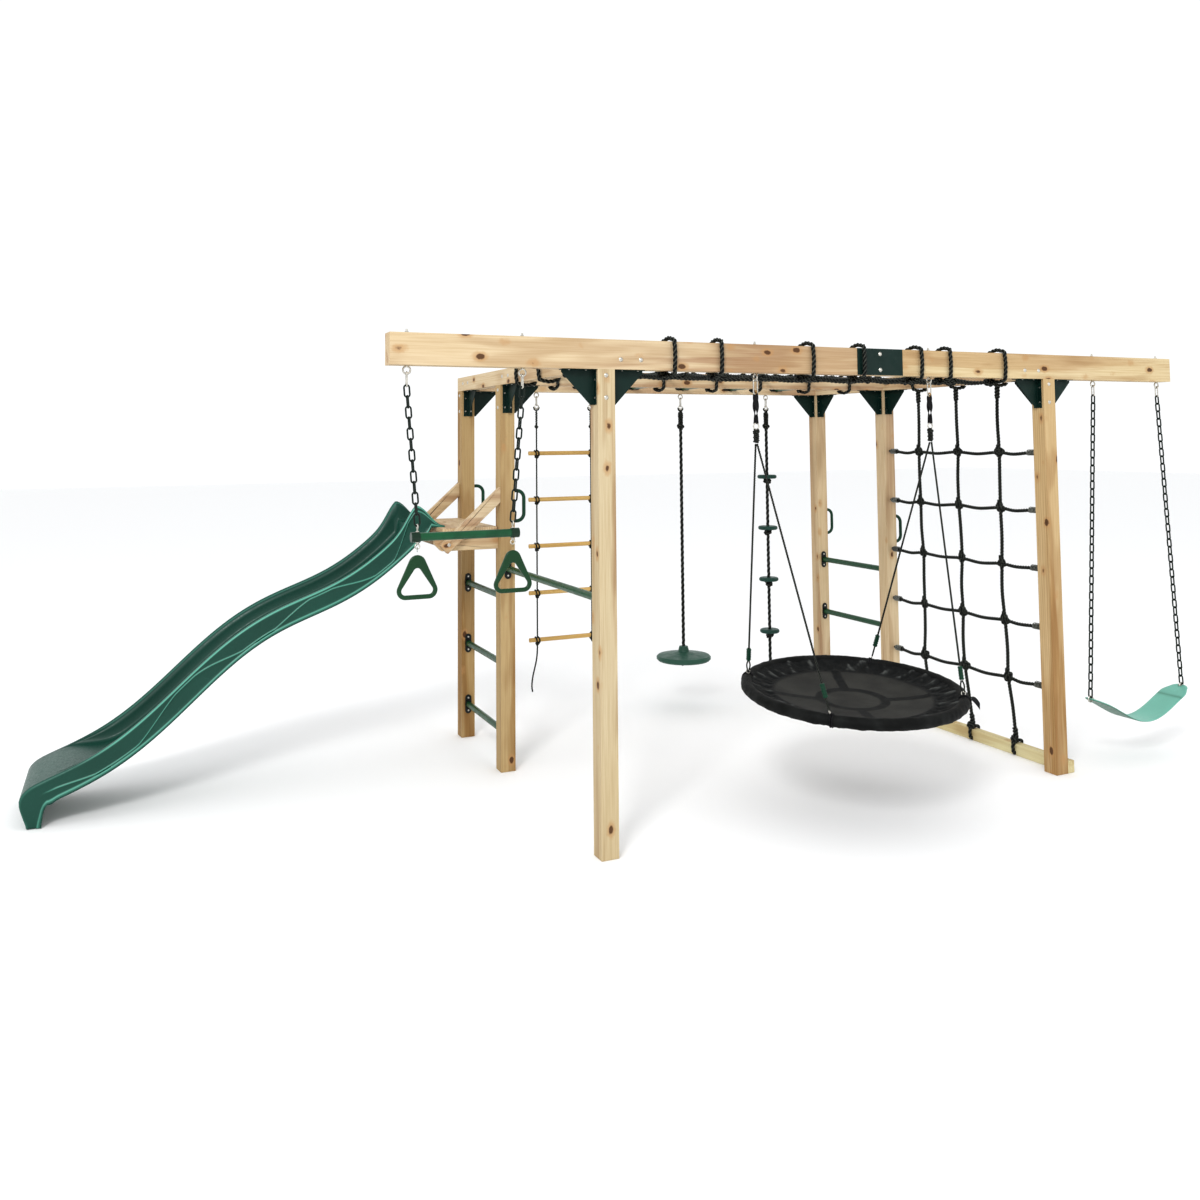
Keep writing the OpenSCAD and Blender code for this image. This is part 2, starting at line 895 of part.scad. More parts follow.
// Space above the sliding surface, closing towards the toe
module slide_channel() {
  polygon(concat(
    [for (u = reaches(slide_in - 10, 1700, 44)) [u, bed(u)]],
    [for (u = reaches(1720, 2020, 12))
      [u, bed(u) + (wall_top(u) - bed(u)) * (1 - cos(180 * (u - 1720) / 300)) / 2
        + (u > 2010 ? 1 : 0)]],
    [[2020, 2000], [slide_in - 10, 2000]]
  ));
}

// Space under the bed, or inside a side wall with `top` as its roof
module slide_hollow(roof) {
  polygon(concat(
    [for (u = reaches(430, 1960, 48)) [u, (roof ? wall_top(u) : bed(u)) - upright(u, skin)]],
    [[1960, 0], [430, 0]]
  ));
}

// One-piece wavy slide with hollow side walls, resting on the deck and on its toe
module slide() {
  color("teal")
    translate([x_left, (y_mid + y_back) / 2, 0])
      rotate([90, 0, 180])
        difference() {
          translate([0, 0, -slide_w / 2])
            linear_extrude(slide_w)
              slide_outline();
          translate([0, 0, wall_w - slide_w / 2])
            linear_extrude(slide_w - 2 * wall_w) {
              slide_channel();
              slide_hollow(false);
            }
          for (s = SIDES)
            translate([0, 0, s * (slide_w - wall_w) / 2 - wall_w / 2 + skin])
              linear_extrude(wall_w - 2 * skin)
                slide_hollow(true);
        }
}

// Straight rope with knots at the given shares of its length
module knotted_rope(p, q, shares) {
  rod(p, q, net_r);
  for (t = shares)
    translate(p + t * (q - p))
      sphere(r = knot_r);
}

// Height of the roof net at a row
function roof_z(y) = net_front_z + (net_mid_z - net_front_z) * (y - y_front) / swing_bay;

module roof_net_columns() {
  color("dimgray")
    for (i = [0 : len(tie_at) - 1])
      knotted_rope(
        [x_left + tie_at[i], y_front + half + tie_gap + net_r, roof_z(y_front + half)],
        [column_x[i], y_mid - half - tie_gap - net_r, roof_z(y_mid - half)],
        [for (y = row_y) (y - y_front - half) / (swing_bay - post)]
      );
}

module roof_net_rows() {
  color("dimgray")
    for (y = row_y)
      rod(
        [x_left + half + tie_gap + 2 * net_r, y, roof_z(y)],
        [x_right - half - tie_gap - 2 * net_r, y, roof_z(y)],
        net_r
      );
}

module side_net_columns() {
  color("dimgray")
    for (y = row_y) {
      knotted_rope(
        [x_right, y, headroom - tie_gap - 2 * net_r],
        [x_right, y, side_net_z],
        [for (z = row_z) (headroom - 19 - z) / (headroom - 19 - side_net_z)]
      );
      rod([x_right, y, side_net_z], [rail_x - 14, y, rail_h + 2 * net_r + tie_gap], net_r);
    }
}

module side_net_rows() {
  color("dimgray")
    for (z = row_z) {
      rod([x_right, y_front + half + row_in, z], [x_right, y_mid - half - row_in, z], net_r);
      for (y = [y_front + half + row_in, y_mid - half - row_in - splice_len_rope])
        translate([x_right, y, z])
          rotate([-90, 0, 0])
            cylinder(h = splice_len_rope, r = splice_r);
    }
}

// Puts its children on the two posts at the ends of the side net's rows, with +Y into the post
module at_net_hooks() {
  for (z = row_z) {
    translate([x_right, y_front + half, z])
      rotate([0, 0, 180])
        children();
    translate([x_right, y_mid - half, z])
      children();
  }
}

// Screw hooks that hold the ends of the side net's rows
module net_hooks() {
  color("silver")
    at_net_hooks() {
      translate([0, -hook_ring_r - hook_wire - 1, 0])
        rotate([0, 0, 90])
          wire_ring(hook_ring_r, hook_wire);
      translate([0, -hook_wire - 1, 0])
        rotate([-90, 0, 0])
          cylinder(h = hook_shank, r = hook_wire, $fn = 24);
    }
}

// Loop of rope tied round a timber of the given width and height, in the XZ plane
module loop(w, h) {
  rotate([90, 0, 0])
    linear_extrude(2 * net_r, center = true)
      difference() {
        square([w + 2 * tie_gap + 4 * net_r, h + 2 * tie_gap + 4 * net_r], center = true);
        square([w + 2 * tie_gap, h + 2 * tie_gap], center = true);
      }
}

// Loops that tie the nets to the beams and to the ground rail
module net_loops() {
  color("dimgray") {
    for (i = [0 : len(tie_at) - 1]) {
      plates = abs(tie_at[i] - splice_at) < splice_len / 2 ? 2 * steel_t : 0;
      translate([x_left + tie_at[i], y_front, headroom + front_beam_h / 2])
        rotate([0, 0, 90])
          loop(post + plates, front_beam_h);
      translate([column_x[i], y_mid, headroom + half])
        rotate([0, 0, 90])
          loop(post, post);
    }
    for (x = [x_left, x_right], y = row_y)
      translate([x, y, headroom + half])
        loop(post, post);
    for (y = row_y)
      translate([rail_x, y, rail_notch / 2 + rail_h / 2])
        loop(rail_t, rail_h - rail_notch);
  }
}

// Puts its children at the hooks numbered from `first` to `last`
module at_hooks(first, last) {
  for (i = [first : last])
    translate([HOOKS[i][0], HOOKS[i][1], 0])
      children();
}

// Oval link standing in the YZ plane on a hook's wire
module hook_link() {
  translate([0, 0, hook_z])
    rotate([0, 0, 90])
      oval_link(link_drop, link_r, link_wire);
}

module trapeze_links() {
  color("silver")
    at_hooks(0, 1)
      hook_link();
}

module trapeze_chains() {
  color("darkgreen")
    for (s = SIDES)
      chain(
        [trapeze_x + s * trapeze_hooks / 2, y_front, link_foot_z],
        [trapeze_x + s * trapeze_eye_x, y_front,
         trapeze_z + eye_up - bar_eye_wire - chain_wire - chain_gap],
        1
      );
}

// Tube with a thicker cap on each end, drilled for the eyes' shanks
module trapeze_bar() {
  color("green")
    translate([trapeze_x, y_front, trapeze_z])
      difference() {
        rotate([0, 90, 0])
          difference() {
            union() {
              cylinder(h = trapeze_len - 20, r = bar_r, center = true);
              for (s = SIDES)
                translate([0, 0, s * (trapeze_len / 2 - 16)])
                  cylinder(h = 32, r = bar_r + 3, center = true);
            }
            cylinder(h = trapeze_len - 12, r = bar_r - 2.5, center = true);
          }
        for (s = SIDES)
          translate([s * trapeze_eye_x, 0, 0])
            cylinder(h = 3 * bar_r, r = bar_shank_r + drill_gap, center = true);
      }
}

// Double-ended eyes through the bar: the upper one crosswise, the lower one lengthwise
module trapeze_eyes() {
  color("silver")
    for (s = SIDES)
      translate([trapeze_x + s * trapeze_eye_x, y_front, trapeze_z]) {
        translate([0, 0, eye_up - bar_eye_r])
          rotate([0, 0, 90])
            wire_ring(bar_eye_r, bar_eye_wire);
        translate([0, 0, bar_eye_r - eye_down])
          wire_ring(bar_eye_r, bar_eye_wire);
        translate([0, 0, 2 * bar_eye_r - eye_down])
          cylinder(h = eye_up + eye_down - 4 * bar_eye_r, r = bar_shank_r);
        for (t = SIDES)
          translate([0, 0, t * (bar_r + 5)])
            cylinder(h = 3, r = 6.5, center = true);
      }
}

// Outline of the triangular ring, rounded round its three corner points
module triangle() {
  hull()
    for (p = [[0, -ring_corner], [-ring_side, -ring_low], [ring_side, -ring_low]])
      translate(p)
        circle(r = ring_corner, $fn = 32);
}

// Triangular ring under one end of the bar, from its hinge at z = 0
module trapeze_ring(s) {
  color("darkgreen")
    translate([trapeze_x + s * trapeze_eye_x, y_front, trapeze_z - eye_down]) {
      rotate([0, 0, 90])
        oval_link(6, ring_eye_r, ring_eye_wire);
      rotate([90, 0, 0])
        linear_extrude(ring_tube, center = true)
          difference() {
            translate([0, -21])
              triangle();
            translate([0, -21]) {
              hull() {
                translate([0, -64])
                  circle(r = 13, $fn = 32);
                for (t = SIDES)
                  translate([t * ring_side, -ring_low])
                    circle(r = 14, $fn = 32);
              }
            }
          }
    }
}

module trapeze_ring_left() {
  trapeze_ring(-1);
}

module trapeze_ring_right() {
  trapeze_ring(1);
}

// Nest swing: oval carabiners across the hooks' wires
module nest_carabiners() {
  color("silver")
    at_hooks(2, 3)
      translate([0, 0, carabiner_top_z - carabiner_r])
        oval_link(carabiner_drop, carabiner_r, link_wire);
}

// Looped webbing slings, each with a ring and the bundled knot of two ropes
module nest_slings() {
  color("black")
    at_hooks(2, 3) {
      translate([0, 0, carabiner_foot_z])
        rotate([0, 0, 90])
          oval_link(sling_drop, sling_loop_r, sling_wire);
      translate([0, 0, sling_ring_z])
        wire_ring(nest_ring_r, nest_ring_wire);
      translate([0, 0, bundle_z])
        cylinder(h = bundle_h, r = 14);
    }
}

// Points of the hoop where the ropes are tied, and directions of the ropes
function tie_point(s, f) = [
  nest_x + s * nest_tie_x,
  y_front + f * nest_tie_y * cos(hoop_tilt),
  hoop_z + f * nest_tie_y * sin(hoop_tilt)
];
function bundle_point(s, f) = [nest_x + s * nest_hooks / 2, y_front + f * 6, bundle_z - 3];
function tie_dir(s, f) =
  (bundle_point(s, f) - tie_point(s, f)) / norm(bundle_point(s, f) - tie_point(s, f));

module nest_ropes() {
  color("black")
    for (s = SIDES, f = SIDES)
      rod(tie_point(s, f) + (sleeve_r + 3) * tie_dir(s, f), bundle_point(s, f), nest_rope_r);
}

// Rope adjusters, threaded on the ropes above the hoop
module nest_adjusters() {
  color("darkgreen")
    for (s = SIDES, f = SIDES)
      difference() {
        rod(
          tie_point(s, f) + adjuster_up * tie_dir(s, f),
          tie_point(s, f) + (adjuster_up + adjuster_len) * tie_dir(s, f),
          9
        );
        rod(tie_point(s, f), bundle_point(s, f), nest_rope_r + drill_gap);
      }
}

// Moves its children to the hoop's centre, with +Z square to the hoop
module at_hoop() {
  translate([nest_x, y_front, hoop_z])
    rotate([hoop_tilt, 0, 0])
      children();
}

module nest_hoop() {
  color("dimgray")
    at_hoop()
      rotate_extrude()
        translate([hoop_r, 0])
          circle(r = hoop_tube, $fn = 24);
}

// Padded sleeve round the hoop
module nest_sleeve() {
  color("black")
    at_hoop()
      rotate_extrude()
        translate([hoop_r, 0])
          difference() {
            circle(r = sleeve_r, $fn = 32);
            circle(r = hoop_tube + 0.5, $fn = 24);
          }
}

// Sagging mat inside the hoop
module nest_mat() {
  edge = hoop_r - sleeve_r - 0.5;
  color("black")
    at_hoop()
      rotate_extrude()
        polygon(concat(
          [for (i = [0 : 8]) [edge * i / 8, mat_sag * (pow(i / 8, 2) - 1)]],
          [for (i = [8 : -1 : 0]) [edge * i / 8, mat_sag * (pow(i / 8, 2) - 1) - mat_t]]
        ));
}

module belt_links() {
  color("silver")
    at_hooks(4, 5)
      hook_link();
}

module belt_chains() {
  color("darkgreen")
    for (s = SIDES)
      chain(
        [belt_x + s * belt_hooks / 2, y_front, link_foot_z],
        [belt_x + s * belt_ring_x, y_front,
         belt_ring_z + belt_ring_r - belt_ring_wire - chain_wire - chain_gap],
        0
      );
}

module belt_rings() {
  color("silver")
    for (s = SIDES)
      translate([belt_x + s * belt_ring_x, y_front, belt_ring_z])
        wire_ring(belt_ring_r, belt_ring_wire);
}

// Flexible belt bent along a circle, with an eyelet hole near each end
module belt_seat() {
  color("mediumaquamarine")
    translate([belt_x, y_front, belt_centre_z])
      difference() {
        rotate([90, 0, 0])
          rotate([0, 0, -90 - seat_half])
            rotate_extrude(angle = 2 * seat_half)
              translate([seat_r - seat_t, -belt_w / 2])
                square([seat_t, belt_w]);
        for (s = SIDES)
          rotate([0, -s * eyelet_turn, 0])
            translate([0, 0, -seat_r - 10])
              cylinder(h = seat_t + 20, r = 6.5);
      }
}

// Tube swept along points, with its first and last ring as end faces
module swept_tube(points, r, sides) {
  last = len(points) - 1;
  turns = [for (i = [0 : last]) points[min(i + 1, last)] - points[max(i - 1, 0)]];
  across = [for (v = turns) cross([0, 1, 0], v) / norm(cross([0, 1, 0], v))];
  polyhedron(
    points = [for (i = [0 : last], j = [0 : sides - 1])
      points[i] + r * (cos(360 * j / sides) * across[i]
        + sin(360 * j / sides) * cross(turns[i], across[i]) / norm(turns[i]))],
    faces = concat(
      [[for (j = [0 : sides - 1]) j]],
      [[for (j = [sides - 1 : -1 : 0]) last * sides + j]],
      [for (i = [0 : last - 1], j = [0 : sides - 1])
        [i * sides + j, (i + 1) * sides + j,
         (i + 1) * sides + (j + 1) % sides, i * sides + (j + 1) % sides]]
    )
  );
}

// Ring at the top of a hanging rope, in the XZ plane under its hook link
module rope_ring() {
  translate([0, 0, rope_ring_z])
    wire_ring(rope_ring_r, rope_ring_wire);
}

// Route of a rope that hangs straight down from its ring, from z = top to z = low
function drop_route(x, y, low) =
  [for (i = [0 : 16]) [x, y, rope_top_z + (low - rope_top_z) * i / 16]];

module rope_ladder_links() {
  color("silver")
    at_hooks(6, 7)
      hook_link();
}

// Knots under the rungs, as short barrels round the rope
module rung_knots() {
  for (z = rope_rung_z)
    translate([0, 0, z - rung_wood_r - 17])
      cylinder(h = 16, r = 2 * ladder_rope_r, $fn = 24);
}

// Route of the left rope, with its loose tail below the lowest rung
left_route = [
  for (p = [
    [0, 487], [0, 460], [-1, 430], [-3, 400], [-7, 372], [-13, 345], [-20, 318],
    [-27, 291], [-32, 264], [-35, 237], [-34, 215], [-31, 196]
  ]) [ladder_x - ladder_gap / 2 + p[0], y_back, p[1]]
];

module rope_ladder_rope_left() {
  x = ladder_x - ladder_gap / 2;
  color("black") {
    swept_tube(concat(
      [for (i = [0 : 12]) [x, y_back, rope_top_z + (rope_rung_z[0] + 10 - rope_top_z) * i / 12]],
      left_route
    ), ladder_rope_r, 8);
    translate([x, y_back, 0]) {
      rope_ring();
      rung_knots();
    }
  }
}

module rope_ladder_rope_right() {
  x = ladder_x + ladder_gap / 2;
  color("black") {
    swept_tube(drop_route(x, y_back, rope_rung_z[0] - rung_wood_r - 26), ladder_rope_r, 8);
    translate([x, y_back, 0]) {
      rope_ring();
      rung_knots();
    }
  }
}

// Wooden rungs, drilled for the ropes
module rope_ladder_rungs() {
  color("khaki")
    for (z = rope_rung_z)
      translate([ladder_x, y_back, z])
        difference() {
          rotate([0, 90, 0])
            cylinder(h = rung_wood_len, r = rung_wood_r, center = true);
          for (s = SIDES)
            translate([s * ladder_gap / 2, 0, 0])
              cylinder(h = 3 * rung_wood_r, r = ladder_rope_r + drill_gap, center = true);
        }
}

module disc_link() {
  color("silver")
    at_hooks(8, 8)
      hook_link();
}

// Knot on a thick rope below z = 0
module rope_knot() {
  translate([0, 0, -2 * rope_r - 4])
    cylinder(h = 2 * rope_r + 3, r = 1.9 * rope_r);
}

module disc_rope() {
  color("black") {
    swept_tube(drop_route(disc_x, y_back, disc_z - 48), rope_r, 12);
    translate([disc_x, y_back, 0]) {
      rope_ring();
      translate([0, 0, disc_z - 20])
        rope_knot();
    }
  }
}

// Round seat with a raised hub and a bore for the rope
module disc_seat() {
  color("darkgreen")
    translate([disc_x, y_back, disc_z])
      rotate_extrude()
        polygon([
          [rope_r + 0.5, -20], [disc_r - 10, -20], [disc_r, -10], [disc_r, 2], [disc_r - 8, 10],
          [70, 22], [34, 32], [26, 64], [rope_r + 0.5, 66]
        ]);
}

module climb_link() {
  color("silver")
    at_hooks(9, 9)
      hook_link();
}

module climb_rope() {
  color("black") {
    swept_tube(drop_route(climb_x, y_back, step_z[0] - 48), rope_r, 12);
    translate([climb_x, y_back, 0]) {
      rope_ring();
      for (z = step_z)
        translate([0, 0, z - step_h / 2])
          rope_knot();
    }
  }
}

// Round steps with rounded rims, each resting on a knot
module climb_discs() {
  color("darkslategray")
    for (z = step_z)
      translate([climb_x, y_back, z])
        rotate_extrude()
          polygon([
            [rope_r + 0.5, -step_h / 2], [step_r - 7, -step_h / 2], [step_r, -step_h / 4],
            [step_r, step_h / 4], [step_r - 7, step_h / 2], [rope_r + 0.5, step_h / 2]
          ]);
}

post_front_left();
post_front_right();
post_mid_left();
post_mid_right();
post_back_left();
post_back_right();
front_beam_left();
front_beam_right();
side_beam_left();
side_beam_right();
mid_beam();
back_beam();
ground_rail();
gussets();
wood_screws();
carriage_bolts();
splice_plates();
eye_bolts();
monkey_bars();
ladder_rungs();
turning_bar();
bar_flanges();
hand_grips();
deck_joists();
deck_boards();
deck_struts();
slide();
roof_net_columns();
roof_net_rows();
side_net_columns();
side_net_rows();
net_loops();
net_hooks();
trapeze_links();
trapeze_chains();
trapeze_bar();
trapeze_eyes();
trapeze_ring_left();
trapeze_ring_right();
nest_carabiners();
nest_slings();
nest_ropes();
nest_adjusters();
nest_hoop();
nest_sleeve();
nest_mat();
belt_links();
belt_chains();
belt_rings();
belt_seat();
rope_ladder_links();
rope_ladder_rope_left();
rope_ladder_rope_right();
rope_ladder_rungs();
disc_link();
disc_rope();
disc_seat();
climb_link();
climb_rope();
climb_discs();
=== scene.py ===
"""Looks of the climbing and swing set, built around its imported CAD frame, in metres."""

import random
from math import atan2, ceil, copysign, cos, exp, hypot, pi, radians, remainder, sin, sqrt

import bmesh
import bpy
from mathutils import Euler, Matrix, Vector


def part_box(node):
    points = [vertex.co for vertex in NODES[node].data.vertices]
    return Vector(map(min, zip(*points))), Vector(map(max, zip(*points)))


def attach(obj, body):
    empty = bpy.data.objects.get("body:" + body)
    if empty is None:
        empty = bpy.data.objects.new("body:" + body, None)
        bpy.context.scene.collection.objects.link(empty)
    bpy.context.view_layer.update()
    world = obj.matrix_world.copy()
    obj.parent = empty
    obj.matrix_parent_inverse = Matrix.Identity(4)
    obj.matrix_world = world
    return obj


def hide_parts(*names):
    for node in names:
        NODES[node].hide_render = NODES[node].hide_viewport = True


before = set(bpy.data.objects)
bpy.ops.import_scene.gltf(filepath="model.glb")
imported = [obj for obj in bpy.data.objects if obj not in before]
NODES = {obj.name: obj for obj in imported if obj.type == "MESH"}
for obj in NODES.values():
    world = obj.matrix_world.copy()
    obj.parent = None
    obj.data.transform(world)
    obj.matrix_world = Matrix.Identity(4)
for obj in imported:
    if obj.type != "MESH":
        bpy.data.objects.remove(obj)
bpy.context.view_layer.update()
TAU = 2 * pi
rng = random.Random(7)


def middle(name):
    low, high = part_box(name)
    return (low + high) / 2


# Places of the timbers and of the hanging toys, from the frame
post_low, post_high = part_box("post_front_left")
HALF = (post_high.x - post_low.x) / 2
HEADROOM = post_high.z
X_LEFT, Y_FRONT = middle("post_front_left").x, middle("post_front_left").y
X_RIGHT = middle("post_front_right").x
Y_MID, Y_BACK = middle("post_mid_left").y, middle("post_back_left").y
FRONT_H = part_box("front_beam_left")[1].z - HEADROOM
TRAPEZE_X = middle("trapeze_bar").x
BELT_X = middle("belt_seat").x
LADDER_X = middle("rope_ladder_rungs").x
DISC_X = middle("disc_seat").x
CLIMB_X = middle("climb_discs").x

# Routes of the hanging ropes, as in part.scad
ROPE_TOP = 1.808
ROPE_RING_Z = 1.8245
LADDER_GAP = 0.343
LADDER_ROPE_R = 0.0045
RUNG_R = 0.012
RUNG_Z = [0.487 + 0.267 * i for i in range(5)]
# Loose tail of the left rope below its last rung, as distance sideways and height
TAIL = [
    (0, 0.487), (0, 0.460), (-0.001, 0.430), (-0.003, 0.400), (-0.007, 0.372), (-0.013, 0.345),
    (-0.020, 0.318), (-0.027, 0.291), (-0.032, 0.264), (-0.035, 0.237), (-0.034, 0.215), (-0.031, 0.196),
]
ROPE_R = 0.010
DISC_Z = 0.305
STEP_Z = [0.086 + 0.325 * i for i in range(5)]
STEP_H = 0.024

# Nets, as in part.scad
NET_R = 0.009
TIE_GAP = 0.001
# Ties of the roof net along the front beam, from the left posts
TIE_AT = [0.295, 0.539, 0.982, 1.276, 1.585, 1.777, 2.095]
COLUMN_X = [(X_LEFT + X_RIGHT) / 2 + 0.3066 * i for i in range(-3, 4)]
ROW_Y = [Y_FRONT + 0.3 * i for i in (1, 2, 3)]
ROW_Z = [0.400 + 0.287 * i for i in range(5)]
NET_FRONT_Z = HEADROOM - 2 * NET_R
NET_MID_Z = HEADROOM + 2 * HALF - NET_R
PLATES_X = X_LEFT + 1.364
RAIL_X = middle("ground_rail").x
RAIL_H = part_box("ground_rail")[1].z
ROW_IN = 0.014
SPLICE, SPLICE_LAY = 0.060, 0.050


def show(obj):
    bpy.context.scene.collection.objects.link(obj)


# Camera in the photo's place, measured from the front left post
camera_data = bpy.data.cameras.new("camera")
camera_data.lens = 31.27
camera_data.sensor_width = 36
camera_data.shift_x = 0.0019
camera_data.shift_y = -0.1860
camera_data.clip_end = 100
camera = bpy.data.objects.new("camera", camera_data)
show(camera)
bpy.context.scene.camera = camera
yaw, pitch, roll = (radians(a) for a in (24.129, 3.518, -0.478))
ahead = Vector((sin(yaw) * cos(pitch), cos(yaw) * cos(pitch), sin(pitch)))
right = Vector((cos(yaw), -sin(yaw), 0))
upward = right.cross(ahead)
turned = right * cos(roll) + upward * sin(roll)
camera.matrix_world = Matrix.Translation((X_LEFT - 1.7286, Y_FRONT - 3.8125, 1.624)) @ Matrix(
    (turned, turned.cross(ahead), -ahead)
).transposed().to_4x4()


# Materials ----------------------------------------------------------


class Shader:
    """A material's node tree, with short calls for the nodes that the materials share."""

    def __init__(self, name, roughness=0.5, metallic=0.0, **sockets):
        self.material = bpy.data.materials.new(name)
        self.material.use_nodes = True
        self.tree = self.material.node_tree
        self.bsdf = self.tree.nodes["Principled BSDF"]
        self.bsdf.inputs["Roughness"].default_value = roughness
        self.bsdf.inputs["Metallic"].default_value = metallic
        for socket, value in sockets.items():
            self.bsdf.inputs[socket.replace("_", " ")].default_value = value
        self.coords = self.add("ShaderNodeTexCoord").outputs["Object"]

    def add(self, kind, links=(), **settings):
        node = self.tree.nodes.new(kind)
        for key, value in settings.items():
            setattr(node, key, value)
        for socket, value in dict(links).items():
            if isinstance(value, bpy.types.NodeSocket):
                self.tree.links.new(value, node.inputs[socket])
            else:
                node.inputs[socket].default_value = value
        return node

    def stretched(self, source, scale):
        """Coordinates multiplied by scale along each axis."""
        return self.add("ShaderNodeVectorMath", {0: source, 1: scale}, operation="MULTIPLY").outputs[0]

    def noise(self, source, scale, detail=3.0, roughness=0.5, distortion=0.0):
        links = {"Vector": source, "Scale": scale, "Detail": detail}
        links.update({"Roughness": roughness, "Distortion": distortion})
        return self.add("ShaderNodeTexNoise", links).outputs["Fac"]

    def ramp(self, value, low, high, to=(0.0, 1.0)):
        links = {"Value": value, "From Min": low, "From Max": high, "To Min": to[0], "To Max": to[1]}
        return self.add("ShaderNodeMapRange", links, interpolation_type="SMOOTHSTEP").outputs["Result"]

    def patches(self, scale, detail, to=(0.0, 1.0)):
        """Soft cloudy patches, from one value to another."""
        return self.ramp(self.noise(self.coords, scale, detail), 0.3, 0.7, to)

    def mix(self, share, a, b, blend="MIX"):
        a, b = (c if isinstance(c, bpy.types.NodeSocket) else (*c, 1) for c in (a, b))
        node = self.add("ShaderNodeMix", {0: share, 6: a, 7: b}, data_type="RGBA", blend_type=blend)
        return node.outputs[2]

    def math(self, operation, a, b):
        return self.add("ShaderNodeMath", {0: a, 1: b}, operation=operation).outputs[0]

    def waves(self, frequency, axes):
        """Sine of each of the first coordinates, for a woven or punched pattern."""
        split = self.add("ShaderNodeSeparateXYZ", {0: self.coords})
        scaled = [self.math("MULTIPLY", split.outputs[i], frequency) for i in range(axes)]
        return [self.math("SINE", value, 0.0) for value in scaled]

    def attribute(self, name):
        return self.add("ShaderNodeAttribute", attribute_name=name).outputs["Fac"]

    def finish(self, colour, bump, strength, distance, roughness=None):
        self.tree.links.new(colour, self.bsdf.inputs["Base Color"])
        if roughness is not None:
            self.tree.links.new(roughness, self.bsdf.inputs["Roughness"])
        node = self.add("ShaderNodeBump", {"Height": bump, "Strength": strength, "Distance": distance})
        self.tree.links.new(node.outputs["Normal"], self.bsdf.inputs["Normal"])
        return self.material


# Turn that brings each axis of the timber onto X, where the grain runs
GRAIN_TURN = {"x": (0, 0, 0), "y": (0, 0, -pi / 2), "z": (0, pi / 2, 0)}


def toned(base, factor, lift=0.0):
    """A colour made lighter or darker."""
    return tuple(min(1, c * factor + lift) for c in base)


def wood(name, axis, seed, sap, heart, streak=0.85, knots=True):
    """Sawn softwood with darker heartwood streaks, growth lines, fibres and knots."""
    s = Shader(name, roughness=0.62, Specular_IOR_Level=0.2)
    shift = (3.1 * seed, 0.37 * seed, 0.53 * seed)
    links = {"Vector": s.coords, "Rotation": GRAIN_TURN[axis], "Location": shift}
    grain = s.add("ShaderNodeMapping", links).outputs[0]
    broad = s.noise(s.stretched(grain, (0.55, 11, 11)), 1.0, 4, 0.55, 0.5)
    colour = s.mix(s.ramp(broad, 0.47, 0.60, (0, streak)), sap, heart)
    patch = s.noise(s.stretched(grain, (1.3, 5, 5)), 1.0, 2)
    colour = s.mix(s.ramp(patch, 0.3, 0.75, (0, 0.35)), colour, (sap[0] * 0.86, sap[1] * 0.78, sap[2] * 0.62))
    bent = s.noise(s.stretched(grain, (1.5, 9, 9)), 1.0, 2)
    spread = s.add("ShaderNodeSeparateXYZ", {0: grain})
    phase = s.math("MULTIPLY_ADD", spread.outputs[1], 520.0)
    s.tree.links.new(s.math("MULTIPLY", bent, 16.0), phase.node.inputs[2])
    lines = s.ramp(s.math("SINE", phase, 0.0), -0.2, 1.0)
    colour = s.mix(s.math("MULTIPLY", lines, 0.30), colour, (0.45, 0.27, 0.13), "MULTIPLY")
    fibre = s.noise(s.stretched(grain, (4, 240, 240)), 1.0, 3, 0.6)
    colour = s.mix(s.ramp(fibre, 0.35, 0.7, (0, 0.32)), colour, (0.60, 0.48, 0.34), "MULTIPLY")
    bump = s.math("ADD", s.math("MULTIPLY", fibre, 0.6), s.math("MULTIPLY", lines, 0.4))
    if knots:
        cells = s.add("ShaderNodeTexVoronoi", {"Vector": s.stretched(grain, (6.5, 11.0, 11.0)), "Scale": 1.0})
        ring = s.add("ShaderNodeMath", {0: cells.outputs["Distance"], 1: s.noise(grain, 60, 2), 2: 0.0},
                     operation="MULTIPLY_ADD")
        s.tree.links.new(cells.outputs["Distance"], ring.inputs[2])
        halo = s.ramp(ring.outputs[0], 0.42, 0.20, (0, 0.6))
        colour = s.mix(halo, colour, (0.42, 0.235, 0.10))
        core = s.ramp(ring.outputs[0], 0.215, 0.145, (0, 0.92))
        colour = s.mix(core, colour, (0.075, 0.032, 0.014))
    return s.finish(colour, bump, 0.35, 0.0008, s.ramp(fibre, 0.3, 0.7, (0.55, 0.75)))


def painted(name, base, roughness=0.38, peel=900.0, coat=0.0):
    """Powder coated steel or moulded plastic with a fine texture and slight wear in its tone."""
    s = Shader(name, roughness=roughness, Coat_Weight=coat, Coat_Roughness=0.25, Specular_IOR_Level=0.3)
    colour = s.mix(s.patches(9.0, 4, (0, 0.5)), base, toned(base, 0.72))
    grime = s.noise(s.coords, 45.0, 3)
    colour = s.mix(s.ramp(grime, 0.6, 0.85, (0, 0.18)), colour, toned(base, 1.5, 0.02))
    bump = s.noise(s.coords, peel, 2)
    rough = s.patches(30.0, 3, (roughness - 0.06, roughness + 0.10))
    return s.finish(colour, bump, 0.25, 0.0004, rough)


def zinc():
    """Zinc plating with faint spangle and dull patches."""
    s = Shader("zinc", roughness=0.34, metallic=1.0)
    spangle = s.noise(s.coords, 160.0, 3)
    colour = s.mix(s.ramp(spangle, 0.3, 0.7), (0.66, 0.64, 0.58), (0.46, 0.44, 0.40))
    rough = s.patches(60.0, 3, (0.26, 0.46))
    return s.finish(colour, spangle, 0.12, 0.0004, rough)


